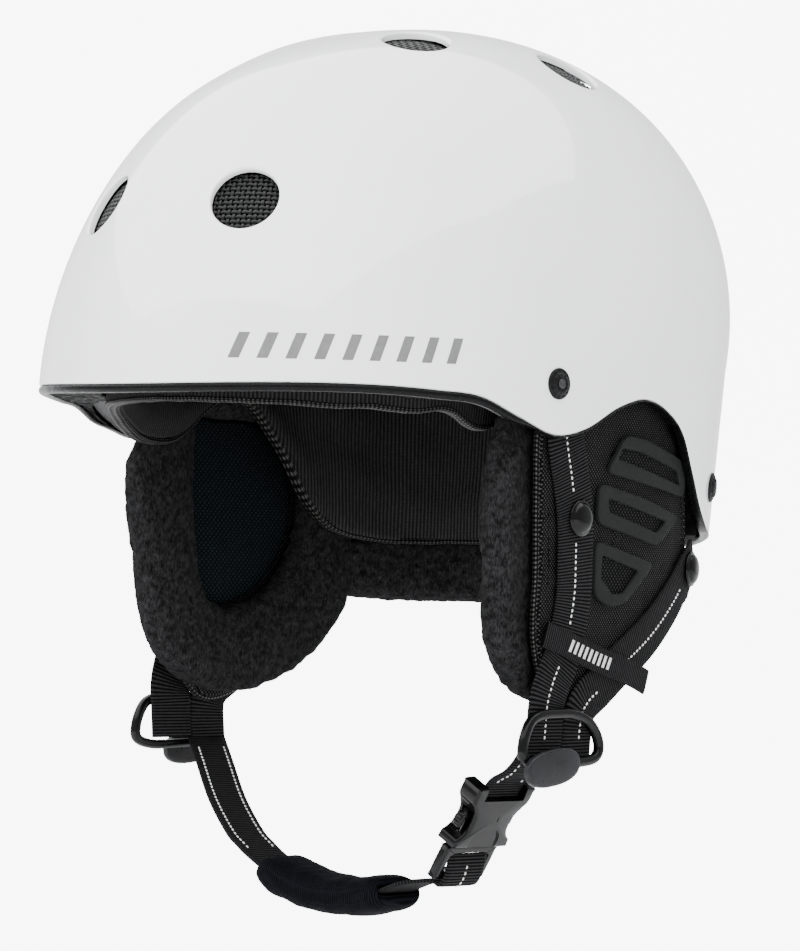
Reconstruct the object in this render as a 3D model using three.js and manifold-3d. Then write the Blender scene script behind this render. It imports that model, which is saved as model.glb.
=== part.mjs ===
// Hard-shell ski helmet with ear flaps, webbing harness, side-release buckle and chin pad.
// Millimetres, +Z up, wearer faces -Y, wearer's left is +X.
// Working frame: z = 0 at the front lip of the shell. The group is shifted at the end so the
// origin lies on the flat underside of the crown pad.
import * as THREE from 'three';
import { mergeVertices } from 'three/addons/utils/BufferGeometryUtils.js';
import Module from 'manifold-3d';

const wasm = await Module();
wasm.setup();

// ---- shell form ----
const HALF_WIDTH = 104.5;
const FRONT_LENGTH = 129.6;
const REAR_LENGTH = 154.4;
const TOP_HEIGHT = 121.8;
const LOW_HEIGHT = 117.6;
const FORM_LIFT = 7.1;
const FORM_TILT = THREE.MathUtils.degToRad(25);
const PLAN_POWER = [1.93, 2.81];
const SIDE_POWER = [1.79, 2.03];
const WALL_TOP = 15;
const WALL_TAPER = 0.085;

// ---- layers, measured inward from the outside of the shell ----
const SHELL_THICK = 2.6;
const FOAM_OUT = 4.3;
const FOAM_IN = 21.5;
const CLOTH_OUT = 24;
const CLOTH_IN = 28.5;
const PAD_OUT = 30;
const BROW_IN = 36;
const TRIM_HEIGHT = 2.6;
const GAP = 0.3;
const SHELL_COLS = 44;

// Lower edge of the shell: [degrees round from the front, height].
const SHELL_EDGE = [
  [0, 0], [56, 0], [65, -1.5], [74, -8], [84, -13.5], [93, -11], [104, -2], [112, 1],
  [119, -1], [127, -9], [132, -26], [137, -40], [145, -49], [160, -50], [180, -50],
];
const FOAM_EDGE = [
  [0, 0.5], [54, 0.5], [60, 13], [130, 13], [136, -30], [146, -48.5], [180, -49.5],
];
const CLOTH_EDGE = [
  [0, -3.4], [35, -6], [50, -10], [57, -11], [63, 6], [70, 11], [126, 11], [133, -26], [139, -46], [180, -49],
];
const TRIM_INNER = [
  [0, 22], [54, 22], [61, 3.2], [134, 3.2], [141, 22], [180, 22],
];

// ---- vents ----
const VENT_RADIUS = 12;
const MESH_RADIUS = 12.9;
const MESH_DEPTH = 5.6;
const MESH_THICK = 0.9;
const VENTS = [
  [33, -97, 65], [-33, -97, 65], [31, -7, 128], [-31, -7, 128], [58, 46, 121], [-58, 46, 121],
  [34, 88, 118], [-34, 88, 118], [27, 134, 62], [-27, 134, 62], [0, 125, 88],
];

// ---- flap and harness ----
const FLAP_SETBACK = 6.5;
const FLAP_LEAN = 0.082;
const FLAP_LEAN_TOP = -15;
const WEB_THICK = 1.6;
const WEB_LIFT = 0.4;
const PAD_OUTLINE = [
  [20, 6], [-4, 5], [-11, -12], [-9, -36], [-6, -60], [-4, -84], [6, -101], [26, -106], [50, -99], [70, -87],
  [82, -72], [85, -54], [84, -37], [77, -18], [66, -2], [44, 6],
];
const PLUSH_OUTLINE = [
  [20, 5], [-12, 4], [-25, -12], [-28, -36], [-25, -62], [-20, -86], [-4, -103], [24, -108], [50, -101], [70, -88],
  [81, -73], [84, -54], [83, -37], [76, -19], [65, -3], [44, 5],
];
const MESH_OUTLINE = [
  [20, -6], [8, -6], [6, -16], [5, -32], [5, -46], [6, -60], [10, -72], [20, -75], [34, -71], [46, -62],
  [54, -50], [57, -40], [57, -28], [52, -17], [44, -8], [32, -6],
];
const RIBS = {
  rib_upper: [
    [[24, -22], [28, -14], [36, -11], [54, -14], [70, -18], [78, -22], [79, -28], [76, -33], [60, -31], [42, -28]],
    [[31, -20], [33, -17.5], [40, -18], [52, -20], [63, -22], [72, -24], [73, -26], [72, -28], [60, -26.5], [44, -24.5]],
  ],
  rib_middle: [
    [[22, -44], [21, -36], [24, -30], [40, -32], [56, -36], [71, -39], [73, -42], [66, -49], [52, -49], [38, -46]],
    [[28, -40], [27, -36], [30, -35.5], [42, -37.5], [53, -39.5], [63, -41.5], [64, -43], [61, -45], [50, -44], [40, -42]],
  ],
  rib_lower: [
    [[24, -59], [23.5, -51], [30, -50], [42, -53], [54, -56], [60, -58], [56, -64], [46, -71], [35, -73], [26, -70]],
    [[26, -59], [26, -56], [31, -55], [39, -57], [47, -59], [49, -60], [46, -63.5], [41, -67], [35, -68], [28, -66]],
  ],
};
const FRONT_WEB = [[0, 2], [0, -13], [5, -28], [9, -41], [11, -55], [12, -70], [9, -88], [4, -98], [1, -106], [1, -112]];
const REAR_WEB = [[98, -54], [90, -60], [77, -71], [62, -82], [46, -91.5], [32, -100], [22, -105.5], [19, -111]];
const KEEPER = [[-5, -82], [10, -86], [28, -91], [46, -95], [60, -99]];
const DIVIDER = { y: 9, z: -116, width: 50, height: 14, thick: 7.2 };
const LOCK = { y: 1, top: -119.5, length: 15, width: 30, thick: 2.6 };

// ---- buckle, local frame: x across, y out of the mouth, z towards the wearer ----
const BUCKLE_AT = new THREE.Vector3(66, 0, -145);
const BUCKLE_DIR = new THREE.Vector3(-0.515, 0, -0.857).normalize();
const SOCKET = { width: 30, length: 25, thick: 9.4 };
const PLUG_THICK = 2.6;

// ---- chin ----
const CHIN_PIVOT = new THREE.Vector3(-88.6, 1, -125.5);
const CHIN_CENTRE = new THREE.Vector3(9.7, -7, -98.5);
const CHIN_RADIUS = 78.8;
const CHIN_PAD = { from: -26.5, to: 16.5, width: 28, thick: 14.5 };

const CROWN_Z = 86;

// ---- helpers ----
const rad = THREE.MathUtils.degToRad;
const mix = THREE.MathUtils.lerp;
const smooth = THREE.MathUtils.smoothstep;
const V = (x, y, z) => new THREE.Vector3(x, y, z);

function profile(table, phi) {
  let a = Math.abs(THREE.MathUtils.radToDeg(phi)) % 360;
  if (a > 180) a = 360 - a;
  let k = 0;
  while (k < table.length - 2 && a > table[k + 1][0]) k += 1;
  const [a0, v0] = table[k];
  const [a1, v1] = table[k + 1];
  return mix(v0, v1, smooth(a, a0, a1) * 0.5 + 0.5 * THREE.MathUtils.clamp((a - a0) / (a1 - a0), 0, 1));
}

function reach(d) {
  const c = Math.cos(FORM_TILT);
  const s = Math.sin(FORM_TILT);
  const y = d.y * c + d.z * s;
  const z = -d.y * s + d.z * c;
  const w = 0.5 + 0.5 * Math.tanh(y / 0.35);
  const p = mix(PLAN_POWER[0], PLAN_POWER[1], w);
  const q = mix(SIDE_POWER[0], SIDE_POWER[1], w);
  const b = y < 0 ? FRONT_LENGTH : REAR_LENGTH;
  const h = z > 0 ? TOP_HEIGHT : LOW_HEIGHT;
  const plan = Math.abs(d.x / HALF_WIDTH) ** p + Math.abs(y / b) ** p;
  return (plan ** (q / p) + Math.abs(z / h) ** q) ** (-1 / q);
}

function planReach(phi, z) {
  let lo = 0;
  let hi = 260;
  for (let i = 0; i < 26; i++) {
    const m = (lo + hi) / 2;
    const d = V(m * Math.sin(phi), -m * Math.cos(phi), z - FORM_LIFT);
    const r = d.length();
    if (r < reach(d.divideScalar(r))) lo = m;
    else hi = m;
  }
  return lo;
}

function wallReach(phi, z) {
  let a = Math.abs(THREE.MathUtils.radToDeg(phi)) % 360;
  if (a > 180) a = 360 - a;
  const w = smooth(a, 70, 125);
  const upright = planReach(phi, WALL_TOP) - WALL_TAPER * (WALL_TOP - z);
  return mix(planReach(phi, z), upright, w);
}

// Point on the outside of the shell: t runs 0 at the crown, 1 at WALL_TOP, 2 at the edge.
function skin(phi, t, edge) {
  if (t <= 1) {
    const polar = t * Math.atan2(planReach(phi, WALL_TOP), WALL_TOP - FORM_LIFT);
    const d = V(Math.sin(polar) * Math.sin(phi), -Math.sin(polar) * Math.cos(phi), Math.cos(polar));
    return d.clone().multiplyScalar(reach(d)).add(V(0, 0, FORM_LIFT));
  }
  const z = mix(WALL_TOP, profile(edge, phi), t - 1);
  const r = wallReach(phi, z);
  return V(r * Math.sin(phi), -r * Math.cos(phi), z);
}

const FLAT_EDGE = [[0, -20], [180, -20]];

function layer(phi, t, inset, edge) {
  const p = skin(phi, t, edge);
  const k = Math.max(t, 0.03);
  const a = skin(phi - 0.02, k, FLAT_EDGE);
  const b = skin(phi + 0.02, k, FLAT_EDGE);
  const c = skin(phi, k - 0.02, FLAT_EDGE);
  const d = skin(phi, k + 0.02, FLAT_EDGE);
  const n = d.sub(c).cross(b.sub(a)).normalize();
  if (t > 1) n.setZ(n.z * 0.3).normalize();
  return p.addScaledVector(n, -inset);
}

function volume(pos, tri) {
  let v = 0;
  for (let i = 0; i < tri.length; i += 3) {
    const [a, b, c] = [0, 1, 2].map((k) => V(...pos.slice(tri[i + k] * 3, tri[i + k] * 3 + 3)));
    v += a.dot(b.cross(c));
  }
  return v / 6;
}

function solid(pos, tri) {
  const out = tri.slice();
  if (volume(pos, tri) < 0) out.reverse();
  const g = new THREE.BufferGeometry();
  g.setAttribute('position', new THREE.Float32BufferAttribute(pos, 3));
  g.setIndex(out);
  return g;
}

// Joins rings of equal length; open ends are capped with a fan.
function loft(rings, closed = false) {
  const n = rings[0].length;
  const pos = rings.flat().flatMap((p) => [p.x, p.y, p.z]);
  const tri = [];
  const last = closed ? rings.length : rings.length - 1;
  for (let i = 0; i < last; i++) {
    const r = ((i + 1) % rings.length) * n;
    for (let j = 0; j < n; j++) {
      const k = (j + 1) % n;
      tri.push(i * n + j, r + j, r + k, i * n + j, r + k, i * n + k);
    }
  }
  if (!closed) {
    for (const [row, flip] of [[0, true], [rings.length - 1, false]]) {
      const c = rings[row].reduce((s, p) => s.add(p), V(0, 0, 0)).divideScalar(n);
      const id = pos.length / 3;
      pos.push(c.x, c.y, c.z);
      for (let j = 0; j < n; j++) {
        const k = (j + 1) % n;
        const pair = flip ? [row * n + k, row * n + j] : [row * n + j, row * n + k];
        tri.push(id, pair[1], pair[0]);
      }
    }
  }
  return solid(pos, tri);
}

function toSolid(geometry) {
  const g = geometry.clone();
  g.deleteAttribute('normal');
  g.deleteAttribute('uv');
  const m = mergeVertices(g, 1e-4);
  const vertProperties = new Float32Array(m.attributes.position.array);
  const triVerts = new Uint32Array(m.index.array);
  return new wasm.Manifold(new wasm.Mesh({ numProp: 3, vertProperties, triVerts }));
}

function toGeometry(manifold) {
  const m = manifold.getMesh();
  const g = new THREE.BufferGeometry();
  g.setAttribute('position', new THREE.Float32BufferAttribute(Array.from(m.vertProperties), 3));
  g.setIndex(Array.from(m.triVerts));
  return g;
}

function cut(body, tools) {
  let out = toSolid(body);
  for (const tool of tools) out = out.subtract(toSolid(tool));
  return toGeometry(out);
}

function domeShell(outInset, inInset, edge, cols, up, low) {
  const pos = [];
  const tri = [];
  const rows = up + low;
  const sheets = [outInset, inInset].map((inset) => {
    const base = pos.length / 3;
    const top = layer(0, 0, inset, edge);
    pos.push(0, top.y, top.z);
    for (let i = 1; i <= rows; i++) {
      const t = i <= up ? i / up : 1 + (i - up) / low;
      for (let j = 0; j < cols; j++) {
        const p = layer((2 * Math.PI * j) / cols, t, inset, edge);
        pos.push(p.x, p.y, p.z);
      }
    }
    return base;
  });
  const at = (base, i, j) => (i === 0 ? base : base + 1 + (i - 1) * cols + (j % cols));
  sheets.forEach((base, side) => {
    const add = (a, b, c) => (side === 0 ? tri.push(a, b, c) : tri.push(a, c, b));
    for (let j = 0; j < cols; j++) {
      add(at(base, 0, 0), at(base, 1, j), at(base, 1, j + 1));
      for (let i = 1; i < rows; i++) {
        add(at(base, i, j), at(base, i + 1, j), at(base, i + 1, j + 1));
        add(at(base, i, j), at(base, i + 1, j + 1), at(base, i, j + 1));
      }
    }
  });
  for (let j = 0; j < cols; j++) {
    const [a, b] = [at(sheets[0], rows, j), at(sheets[0], rows, j + 1)];
    const [c, d] = [at(sheets[1], rows, j), at(sheets[1], rows, j + 1)];
    tri.push(a, c, d, a, d, b);
  }
  return solid(pos, tri);
}

// A frame on the shell near a target point: origin on the surface, normal outward.
function seat(target) {
  const d = V(target[0], target[1], target[2] - FORM_LIFT).normalize();
  const phi = Math.atan2(d.x, -d.y);
  let at = d.clone().multiplyScalar(reach(d)).add(V(0, 0, FORM_LIFT));
  if (target[2] < WALL_TOP) {
    const r = wallReach(phi, target[2]);
    at = V(r * Math.sin(phi), -r * Math.cos(phi), target[2]);
  }
  const edge = [[0, at.z], [180, at.z]];
  const t = target[2] < WALL_TOP ? 2 : Math.acos(d.z) / Math.atan2(planReach(phi, WALL_TOP), WALL_TOP - FORM_LIFT);
  const inner = layer(phi, t, 10, edge);
  const normal = at.clone().sub(inner).normalize();
  return { at, normal };
}

function along(seatFrame, geometry, offset) {
  const q = new THREE.Quaternion().setFromUnitVectors(V(0, 1, 0), seatFrame.normal);
  const at = seatFrame.at.clone().addScaledVector(seatFrame.normal, offset);
  return geometry.applyQuaternion(q).translate(at.x, at.y, at.z);
}

function turned(points, segments) {
  return new THREE.LatheGeometry(points.map(([x, y]) => new THREE.Vector2(x, y)), segments);
}

// ---- flap surface ----
function halfWidthAt(y) {
  let lo = rad(2);
  let hi = rad(178);
  for (let i = 0; i < 22; i++) {
    const m = (lo + hi) / 2;
    if (-wallReach(m, -5) * Math.cos(m) < y) lo = m;
    else hi = m;
  }
  return wallReach(lo, -5) * Math.sin(lo);
}
const widthCache = new Map();
function flapX(y, z) {
  const key = Math.round(y * 4) / 4;
  if (!widthCache.has(key)) widthCache.set(key, halfWidthAt(key));
  return widthCache.get(key) - FLAP_SETBACK - FLAP_LEAN * Math.max(0, FLAP_LEAN_TOP - z);
}
const onFlap = (y, z, out) => V(flapX(y, z) + out, y, z);

function sampled(points, n, closed) {
  const curve = new THREE.CatmullRomCurve3(points.map(([y, z]) => V(0, y, z)), closed, 'centripetal');
  const out = [];
  for (let i = 0; i < n; i++) out.push(curve.getPoint(closed ? i / n : i / (n - 1)));
  return out;
}

// Pad or frame lying on the flap surface; section is a list of [0 inner .. 1 outer, height].
function flapPad(inner, outer, section, n) {
  const a = sampled(outer, n, true);
  if (inner) {
    const b = sampled(inner, n, true);
    return loft(a.map((p, i) => section.map(([f, h]) => onFlap(mix(b[i].y, p.y, f), mix(b[i].z, p.z, f), h))), true);
  }
  const c = a.reduce((s, p) => s.add(p), V(0, 0, 0)).divideScalar(n);
  return loft(section.map(([f, h]) => a.map((p) => onFlap(mix(c.y, p.y, f), mix(c.z, p.z, f), h))));
}

// Webbing lying on the flap surface.
function flapWeb(points, width, low, high, n) {
  const mid = sampled(points, n, false);
  const rings = mid.map((p, i) => {
    const a = mid[Math.max(i - 1, 0)];
    const b = mid[Math.min(i + 1, n - 1)];
    const t = b.clone().sub(a).normalize();
    const w = V(0, -t.z, t.y).multiplyScalar(width / 2);
    const corner = (s, h) => onFlap(p.y + w.y * s, p.z + w.z * s, h);
    return [corner(-1, low), corner(1, low), corner(1, high), corner(-1, high)];
  });
  return loft(rings);
}

// Webbing whose width runs fore and aft, following points in space.
function crossWeb(points, width, thick) {
  const rings = points.map((p, i) => {
    const a = points[Math.max(i - 1, 0)];
    const b = points[Math.min(i + 1, points.length - 1)];
    const t = b.clone().sub(a).setY(0).normalize();
    const n = V(-t.z, 0, t.x).multiplyScalar(thick / 2);
    const w = width / 2;
    return [
      p.clone().add(n).add(V(0, -w, 0)), p.clone().add(n).add(V(0, w, 0)),
      p.clone().sub(n).add(V(0, w, 0)), p.clone().sub(n).add(V(0, -w, 0)),
    ];
  });
  return loft(rings);
}

function roundedBox(w, l, t, r, bevel) {
  const s = new THREE.Shape();
  const [x, y] = [w / 2 - bevel, l / 2 - bevel];
  const k = Math.max(r - bevel, 0.2);
  s.moveTo(-x + k, -y);
  s.lineTo(x - k, -y);
  s.absarc(x - k, -y + k, k, -Math.PI / 2, 0);
  s.absarc(x - k, y - k, k, 0, Math.PI / 2);
  s.absarc(-x + k, y - k, k, Math.PI / 2, Math.PI);
  s.absarc(-x + k, -y + k, k, Math.PI, Math.PI * 1.5);
  const depth = t - 2 * bevel;
  const opts = { depth, bevelEnabled: true, bevelSize: bevel, bevelThickness: bevel, bevelSegments: 1, curveSegments: 3 };
  return new THREE.ExtrudeGeometry(s, opts).translate(0, 0, -depth / 2);
}

const box = (w, l, t, x, y, z) => new THREE.BoxGeometry(w, l, t).translate(x, y, z);

// ---- materials ----
const FINISH = {
  shell: ['#f2f3f4', 0.16, 0], black: ['#101113', 0.45, 0], gloss: ['#0c0c0e', 0.18, 0],
  foam: ['#1b1c1e', 0.8, 0], knit: ['#17181a', 0.95, 0], plush: ['#121a1e', 1, 0], mesh: ['#0b0d10', 0.6, 0],
  nylon: ['#0e0f12', 0.7, 0], rubber: ['#3c3e3f', 0.6, 0], web: ['#141517', 0.8, 0], metal: ['#2a2b2d', 0.35, 0.8],
};

const helmet = new THREE.Group();
helmet.name = 'ski_helmet';
function add(name, geometry, finish) {
  const g = geometry.index ? geometry : mergeVertices(geometry);
  const [color, roughness, metalness] = FINISH[finish];
  const mesh = new THREE.Mesh(g, new THREE.MeshStandardMaterial({ color, roughness, metalness }));
  mesh.name = name;
  helmet.add(mesh);
}

// ---- shell, foam and lining ----
const ventSeats = VENTS.map(seat);
const RIVETS = { rivet_side: [104, -12, 4.3], rivet_rear: [84, 100, -31] };
const rivetSeats = [];
for (const [name, at] of Object.entries(RIVETS)) {
  rivetSeats.push([`${name}_left`, seat(at)], [`${name}_right`, seat([-at[0], at[1], at[2]])]);
}
const drill = (s, r, from, to, seg) => {
  return along(s, new THREE.CylinderGeometry(r, r, to - from, seg), (from + to) / 2);
};
const ventHoles = ventSeats.map((s) => drill(s, VENT_RADIUS, -8, 6, 14));
const rivetHoles = rivetSeats.map(([, s]) => drill(s, 2.3, -8, 6, 6));
add('outer_shell', cut(domeShell(0, SHELL_THICK, SHELL_EDGE, SHELL_COLS, 7, 2), [...ventHoles, ...rivetHoles]), 'shell');

const foamCuts = ventSeats.flatMap((s) => [
  drill(s, VENT_RADIUS - 1, -40, -4, 8), drill(s, MESH_RADIUS + 1, -(MESH_DEPTH + MESH_THICK + 0.4), 6, 10),
]);
add('impact_liner', cut(domeShell(FOAM_OUT, FOAM_IN, FOAM_EDGE, 30, 6, 1), foamCuts), 'foam');
add('comfort_liner', domeShell(CLOTH_OUT, CLOTH_IN, CLOTH_EDGE, 30, 6, 1), 'knit');

ventSeats.forEach((s, i) => {
  add(`vent_mesh_${i + 1}`, drill(s, MESH_RADIUS, -(MESH_DEPTH + MESH_THICK), -MESH_DEPTH, 12), 'mesh');
});

for (const [name, s] of rivetSeats) {
  const head = turned([[0, -2.4], [1.9, -2.4], [1.9, 0.3], [5.5, 0.3], [5.5, 1], [3.8, 2], [0, 2.4]], 12);
  add(name, along(s, head, 0), 'black');
}

function ringSector(from, to, n, section) {
  const rings = [];
  for (let i = 0; i <= n; i++) rings.push(section(rad(mix(from, to, i / n))));
  return rings;
}

const trimSection = (phi) => {
  const z = profile(SHELL_EDGE, phi) - GAP;
  const wide = profile(TRIM_INNER, phi);
  const at = (inset, dz) => {
    const p = layer(phi, 2, inset, SHELL_EDGE);
    return V(p.x, p.y, z + dz);
  };
  return [at(0.3, 0), at(0.1, -TRIM_HEIGHT / 2), at(0.6, -TRIM_HEIGHT), at(wide, -TRIM_HEIGHT), at(wide, 0)];
};
add('edge_trim', loft(ringSector(0, 360 - 360 / SHELL_COLS, SHELL_COLS - 1, trimSection), true), 'black');

// Pad between two layers over a sector of the bowl, rounded at its border.
function bowlPad(from, to, tTop, tLow, out, inn, edge, n, m) {
  const rings = [];
  const mid = (out + inn) / 2;
  const half = (inn - out) / 2;
  for (let i = 0; i <= n; i++) {
    const u = (2 * i) / n - 1;
    const ring = [];
    const k = Math.max(Math.sqrt(1 - Math.abs(u) ** 6), 0.25);
    const phi = rad(mix(from, to, i / n));
    for (let j = 0; j < m; j++) {
      const a = (2 * Math.PI * j) / m;
      const c = Math.sign(Math.cos(a)) * Math.abs(Math.cos(a)) ** 0.5;
      const s = Math.sign(Math.sin(a)) * Math.abs(Math.sin(a)) ** 0.5;
      ring.push(layer(phi, mix(tTop, tLow, 0.5 + 0.5 * c * mix(k, 1, 0.4)), mid + half * s * k, edge));
    }
    rings.push(ring);
  }
  return loft(rings);
}
const BROW_EDGE = [[0, 2], [180, 2]];
add('brow_pad', bowlPad(-52, 52, 0.86, 2, PAD_OUT, BROW_IN, BROW_EDGE, 14, 10), 'knit');

function crownPad() {
  const n = 20;
  const rings = [];
  for (const t of [0.11, 0.2, 0.25]) {
    rings.push(Array.from({ length: n }, (_, j) => layer((2 * Math.PI * j) / n, t, PAD_OUT + (t > 0.22 ? 2 : 0), SHELL_EDGE)));
  }
  const rim = rings[rings.length - 1];
  rings.push(rim.map((p) => V(p.x * 0.99, p.y * 0.99, CROWN_Z + 2)));
  rings.push(rim.map((p) => V(p.x * 0.93, p.y * 0.93, CROWN_Z)));
  return loft(rings);
}
add('crown_pad', crownPad(), 'knit');

const neckSection = (phi) => {
  const ring = [];
  for (let j = 0; j < 10; j++) {
    const a = (2 * Math.PI * j) / 10;
    const c = Math.sign(Math.cos(a)) * Math.abs(Math.cos(a)) ** 0.7;
    const s = Math.sign(Math.sin(a)) * Math.abs(Math.sin(a)) ** 0.7;
    const p = layer(phi, 2, 14 + 8 * c, SHELL_EDGE);
    ring.push(V(p.x, p.y, -64 + 10 * s));
  }
  return ring;
};
add('neck_roll', loft(ringSector(142, 218, 14, neckSection)), 'plush');

// ---- goggle retainer at the back ----
const RETAIN_Y = wallReach(Math.PI, 6);
add('retainer_plate', roundedBox(34, 30, 3, 5, 0.5).rotateX(Math.PI / 2).translate(0, RETAIN_Y + 2.1, -10), 'black');
const loopShape = cut(roundedBox(24, 46, 2.4, 8, 0.4), [roundedBox(12, 7, 6, 3, 0.2).translate(0, 16, 0)]);
loopShape.rotateX(Math.PI / 2).translate(0, RETAIN_Y + 5.4, -16.5);
add('retainer_loop', loopShape, 'rubber');

const SIDE_X = flapX(DIVIDER.y, DIVIDER.z) + WEB_LIFT + WEB_THICK / 2;

// ---- one flap per side ----
function flap(side, tag) {
  const put = (name, geometry, finish) => {
    const g = geometry.index ? geometry : mergeVertices(geometry);
    const pos = Array.from(g.attributes.position.array);
    if (side < 0) for (let i = 0; i < pos.length; i += 3) pos[i] *= -1;
    add(`${name}_${tag}`, solid(pos, Array.from(g.index.array)), finish);
  };
  const padSection = [[0.12, 0], [0.9, 0], [0.98, -1], [1, -2.8], [0.97, -4.6], [0.88, -5.4], [0.12, -5.4]];
  put('ear_pad', flapPad(null, PAD_OUTLINE, padSection, 24), 'nylon');
  const plushSection = [
    [0.02, -9], [0.1, -7.2], [0.8, -7.2], [0.95, -8.4], [1, -12], [0.95, -17], [0.78, -19.6], [0.4, -19.6],
    [0.12, -17.6], [0, -13],
  ];
  put('ear_lining', flapPad(MESH_OUTLINE, PLUSH_OUTLINE, plushSection, 22), 'plush');
  put('ear_mesh', flapPad(null, MESH_OUTLINE, [[0.15, -7.4], [0.94, -7.4], [0.94, -9.4], [0.15, -9.4]], 16), 'mesh');
  const ribSection = [[0, 0.3], [1, 0.3], [1, 1.4], [0.75, 2.4], [0.25, 2.4], [0, 1.4]];
  for (const [name, [outer, inner]] of Object.entries(RIBS)) {
    put(name, flapPad(inner, outer, ribSection, 14), 'rubber');
  }
  put('front_strap', flapWeb(FRONT_WEB, 20, WEB_LIFT, WEB_LIFT + WEB_THICK, 12), 'web');
  put('rear_strap', flapWeb(REAR_WEB, 17, WEB_LIFT, WEB_LIFT + WEB_THICK, 12), 'web');
  put('keeper', flapWeb(KEEPER, 9, 2.4, 3.6, 6), 'web');
  const dome = () => turned([[0, 0], [6.4, 0], [6.4, 0.8], [5, 2.2], [2.5, 2.9], [0, 3.1]], 12).rotateZ(-Math.PI / 2);
  for (const [name, y, z] of [['snap_front', 11, -46], ['snap_rear', 87, -62.5]]) {
    const lean = Math.atan2(flapX(y - 4, z) - flapX(y + 4, z), 8);
    const at = onFlap(y, z, 2.55);
    put(name, dome().rotateZ(lean).translate(at.x, at.y, at.z), 'gloss');
  }
  const ring = roundedBox(DIVIDER.width, DIVIDER.height, DIVIDER.thick, 4, 0.6);
  const ringCuts = [box(46, 40, 4, 0, 0, 0), roundedBox(39, 6, 8, 2, 0.2).translate(0, 0.5, 5)];
  const toFlap = new THREE.Matrix4().makeBasis(V(-0.03, 1, 0).normalize(), V(0, 0, 1), V(1, 0.03, 0).normalize());
  put('divider', cut(ring, ringCuts).applyMatrix4(toFlap).translate(SIDE_X, DIVIDER.y, DIVIDER.z), 'gloss');
  const lever = roundedBox(LOCK.width, LOCK.length, LOCK.thick, 7, 0.4);
  const leverZ = LOCK.top - LOCK.length / 2;
  put('lock', lever.applyMatrix4(toFlap).translate(SIDE_X + 5.5, LOCK.y, leverZ), 'gloss');
}
flap(1, 'left');
flap(-1, 'right');

// ---- buckle ----
const across = V(0, 1, 0);
const buckleZ = across.clone().cross(BUCKLE_DIR);
const buckle = new THREE.Matrix4().makeBasis(across, BUCKLE_DIR, buckleZ).setPosition(BUCKLE_AT);
const local = (x, y, z) => V(x, y, z).applyMatrix4(buckle);

const pocket = loft([
  [V(-12, 14, -3.3), V(12, 14, -3.3), V(12, 14, 3.3), V(-12, 14, 3.3)],
  [V(-11.6, -5, -2.5), V(11.6, -5, -2.5), V(11.6, -5, 2.5), V(-11.6, -5, 2.5)],
]);
const socketCuts = [pocket, box(22, 7, 3, 0, -10.5, 0), box(40, 9, 4.8, 0, 2.5, 0)];
const socketBody = cut(roundedBox(SOCKET.width, SOCKET.length, SOCKET.thick, 4, 1), socketCuts);
add('buckle_socket', socketBody.applyMatrix4(buckle), 'gloss');

const plugOuter = roundedBox(27, 14, 4, 3, 0.6).translate(0, 20.4, 0);
const plugBody = toSolid(plugOuter).subtract(toSolid(box(21, 5.4, 8, 0, 21.5, 0)));
const tongue = toSolid(box(4.6, 15, PLUG_THICK, 0, 7.2, 0));
add('buckle_plug', toGeometry(plugBody.add(tongue)).applyMatrix4(buckle), 'gloss');

const prong = (s) => {
  const shape = new THREE.Shape();
  shape.moveTo(5.2, 13);
  shape.lineTo(10.2, 13);
  shape.lineTo(10.4, 9);
  shape.lineTo(11.3, 6);
  shape.lineTo(11.3, 1);
  shape.lineTo(9.6, -2.6);
  shape.lineTo(7, -3);
  shape.lineTo(5.6, 0);
  const g = new THREE.ExtrudeGeometry(shape, { depth: PLUG_THICK, bevelEnabled: false });
  const merged = mergeVertices(g.translate(0, 0, -PLUG_THICK / 2));
  const pos = Array.from(merged.attributes.position.array);
  if (s < 0) for (let i = 0; i < pos.length; i += 3) pos[i] *= -1;
  return solid(pos, Array.from(merged.index.array)).applyMatrix4(buckle);
};
add('prong_rear', prong(1), 'gloss');
add('prong_front', prong(-1), 'gloss');

const lowerPath = [
  V(SIDE_X, 1, -116), V(SIDE_X, 1, -122), V(SIDE_X - 2.6, 0.6, -126.5), V(SIDE_X - 8, 0.2, -131),
  local(0, -15.5, 0), local(0, -8.4, 0),
];
add('lower_strap_left', crossWeb(lowerPath, 20, WEB_THICK), 'web');

// ---- chin strap and pad ----
const onChin = (deg, r = CHIN_RADIUS, y = 0) => {
  return CHIN_CENTRE.clone().add(V(r * Math.sin(rad(deg)), y, -r * Math.cos(rad(deg))));
};
const chinPath = [
  CHIN_PIVOT.clone(), V(-78, 0, -133), V(-60, -3, -146.5), V(-44, -6, -157.6), V(-37, -7, -162),
  onChin(-32.5), onChin(-25), onChin(-17), onChin(-9), onChin(-1), onChin(7), onChin(15), onChin(22.5),
  V(44.5, -4.5, -169.6), V(48.4, -1.5, -167.4), local(0, 25.6, 3.6), local(0, 22.6, 2.9),
];
add('chin_strap', crossWeb(chinPath, 20, WEB_THICK), 'web');

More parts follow.
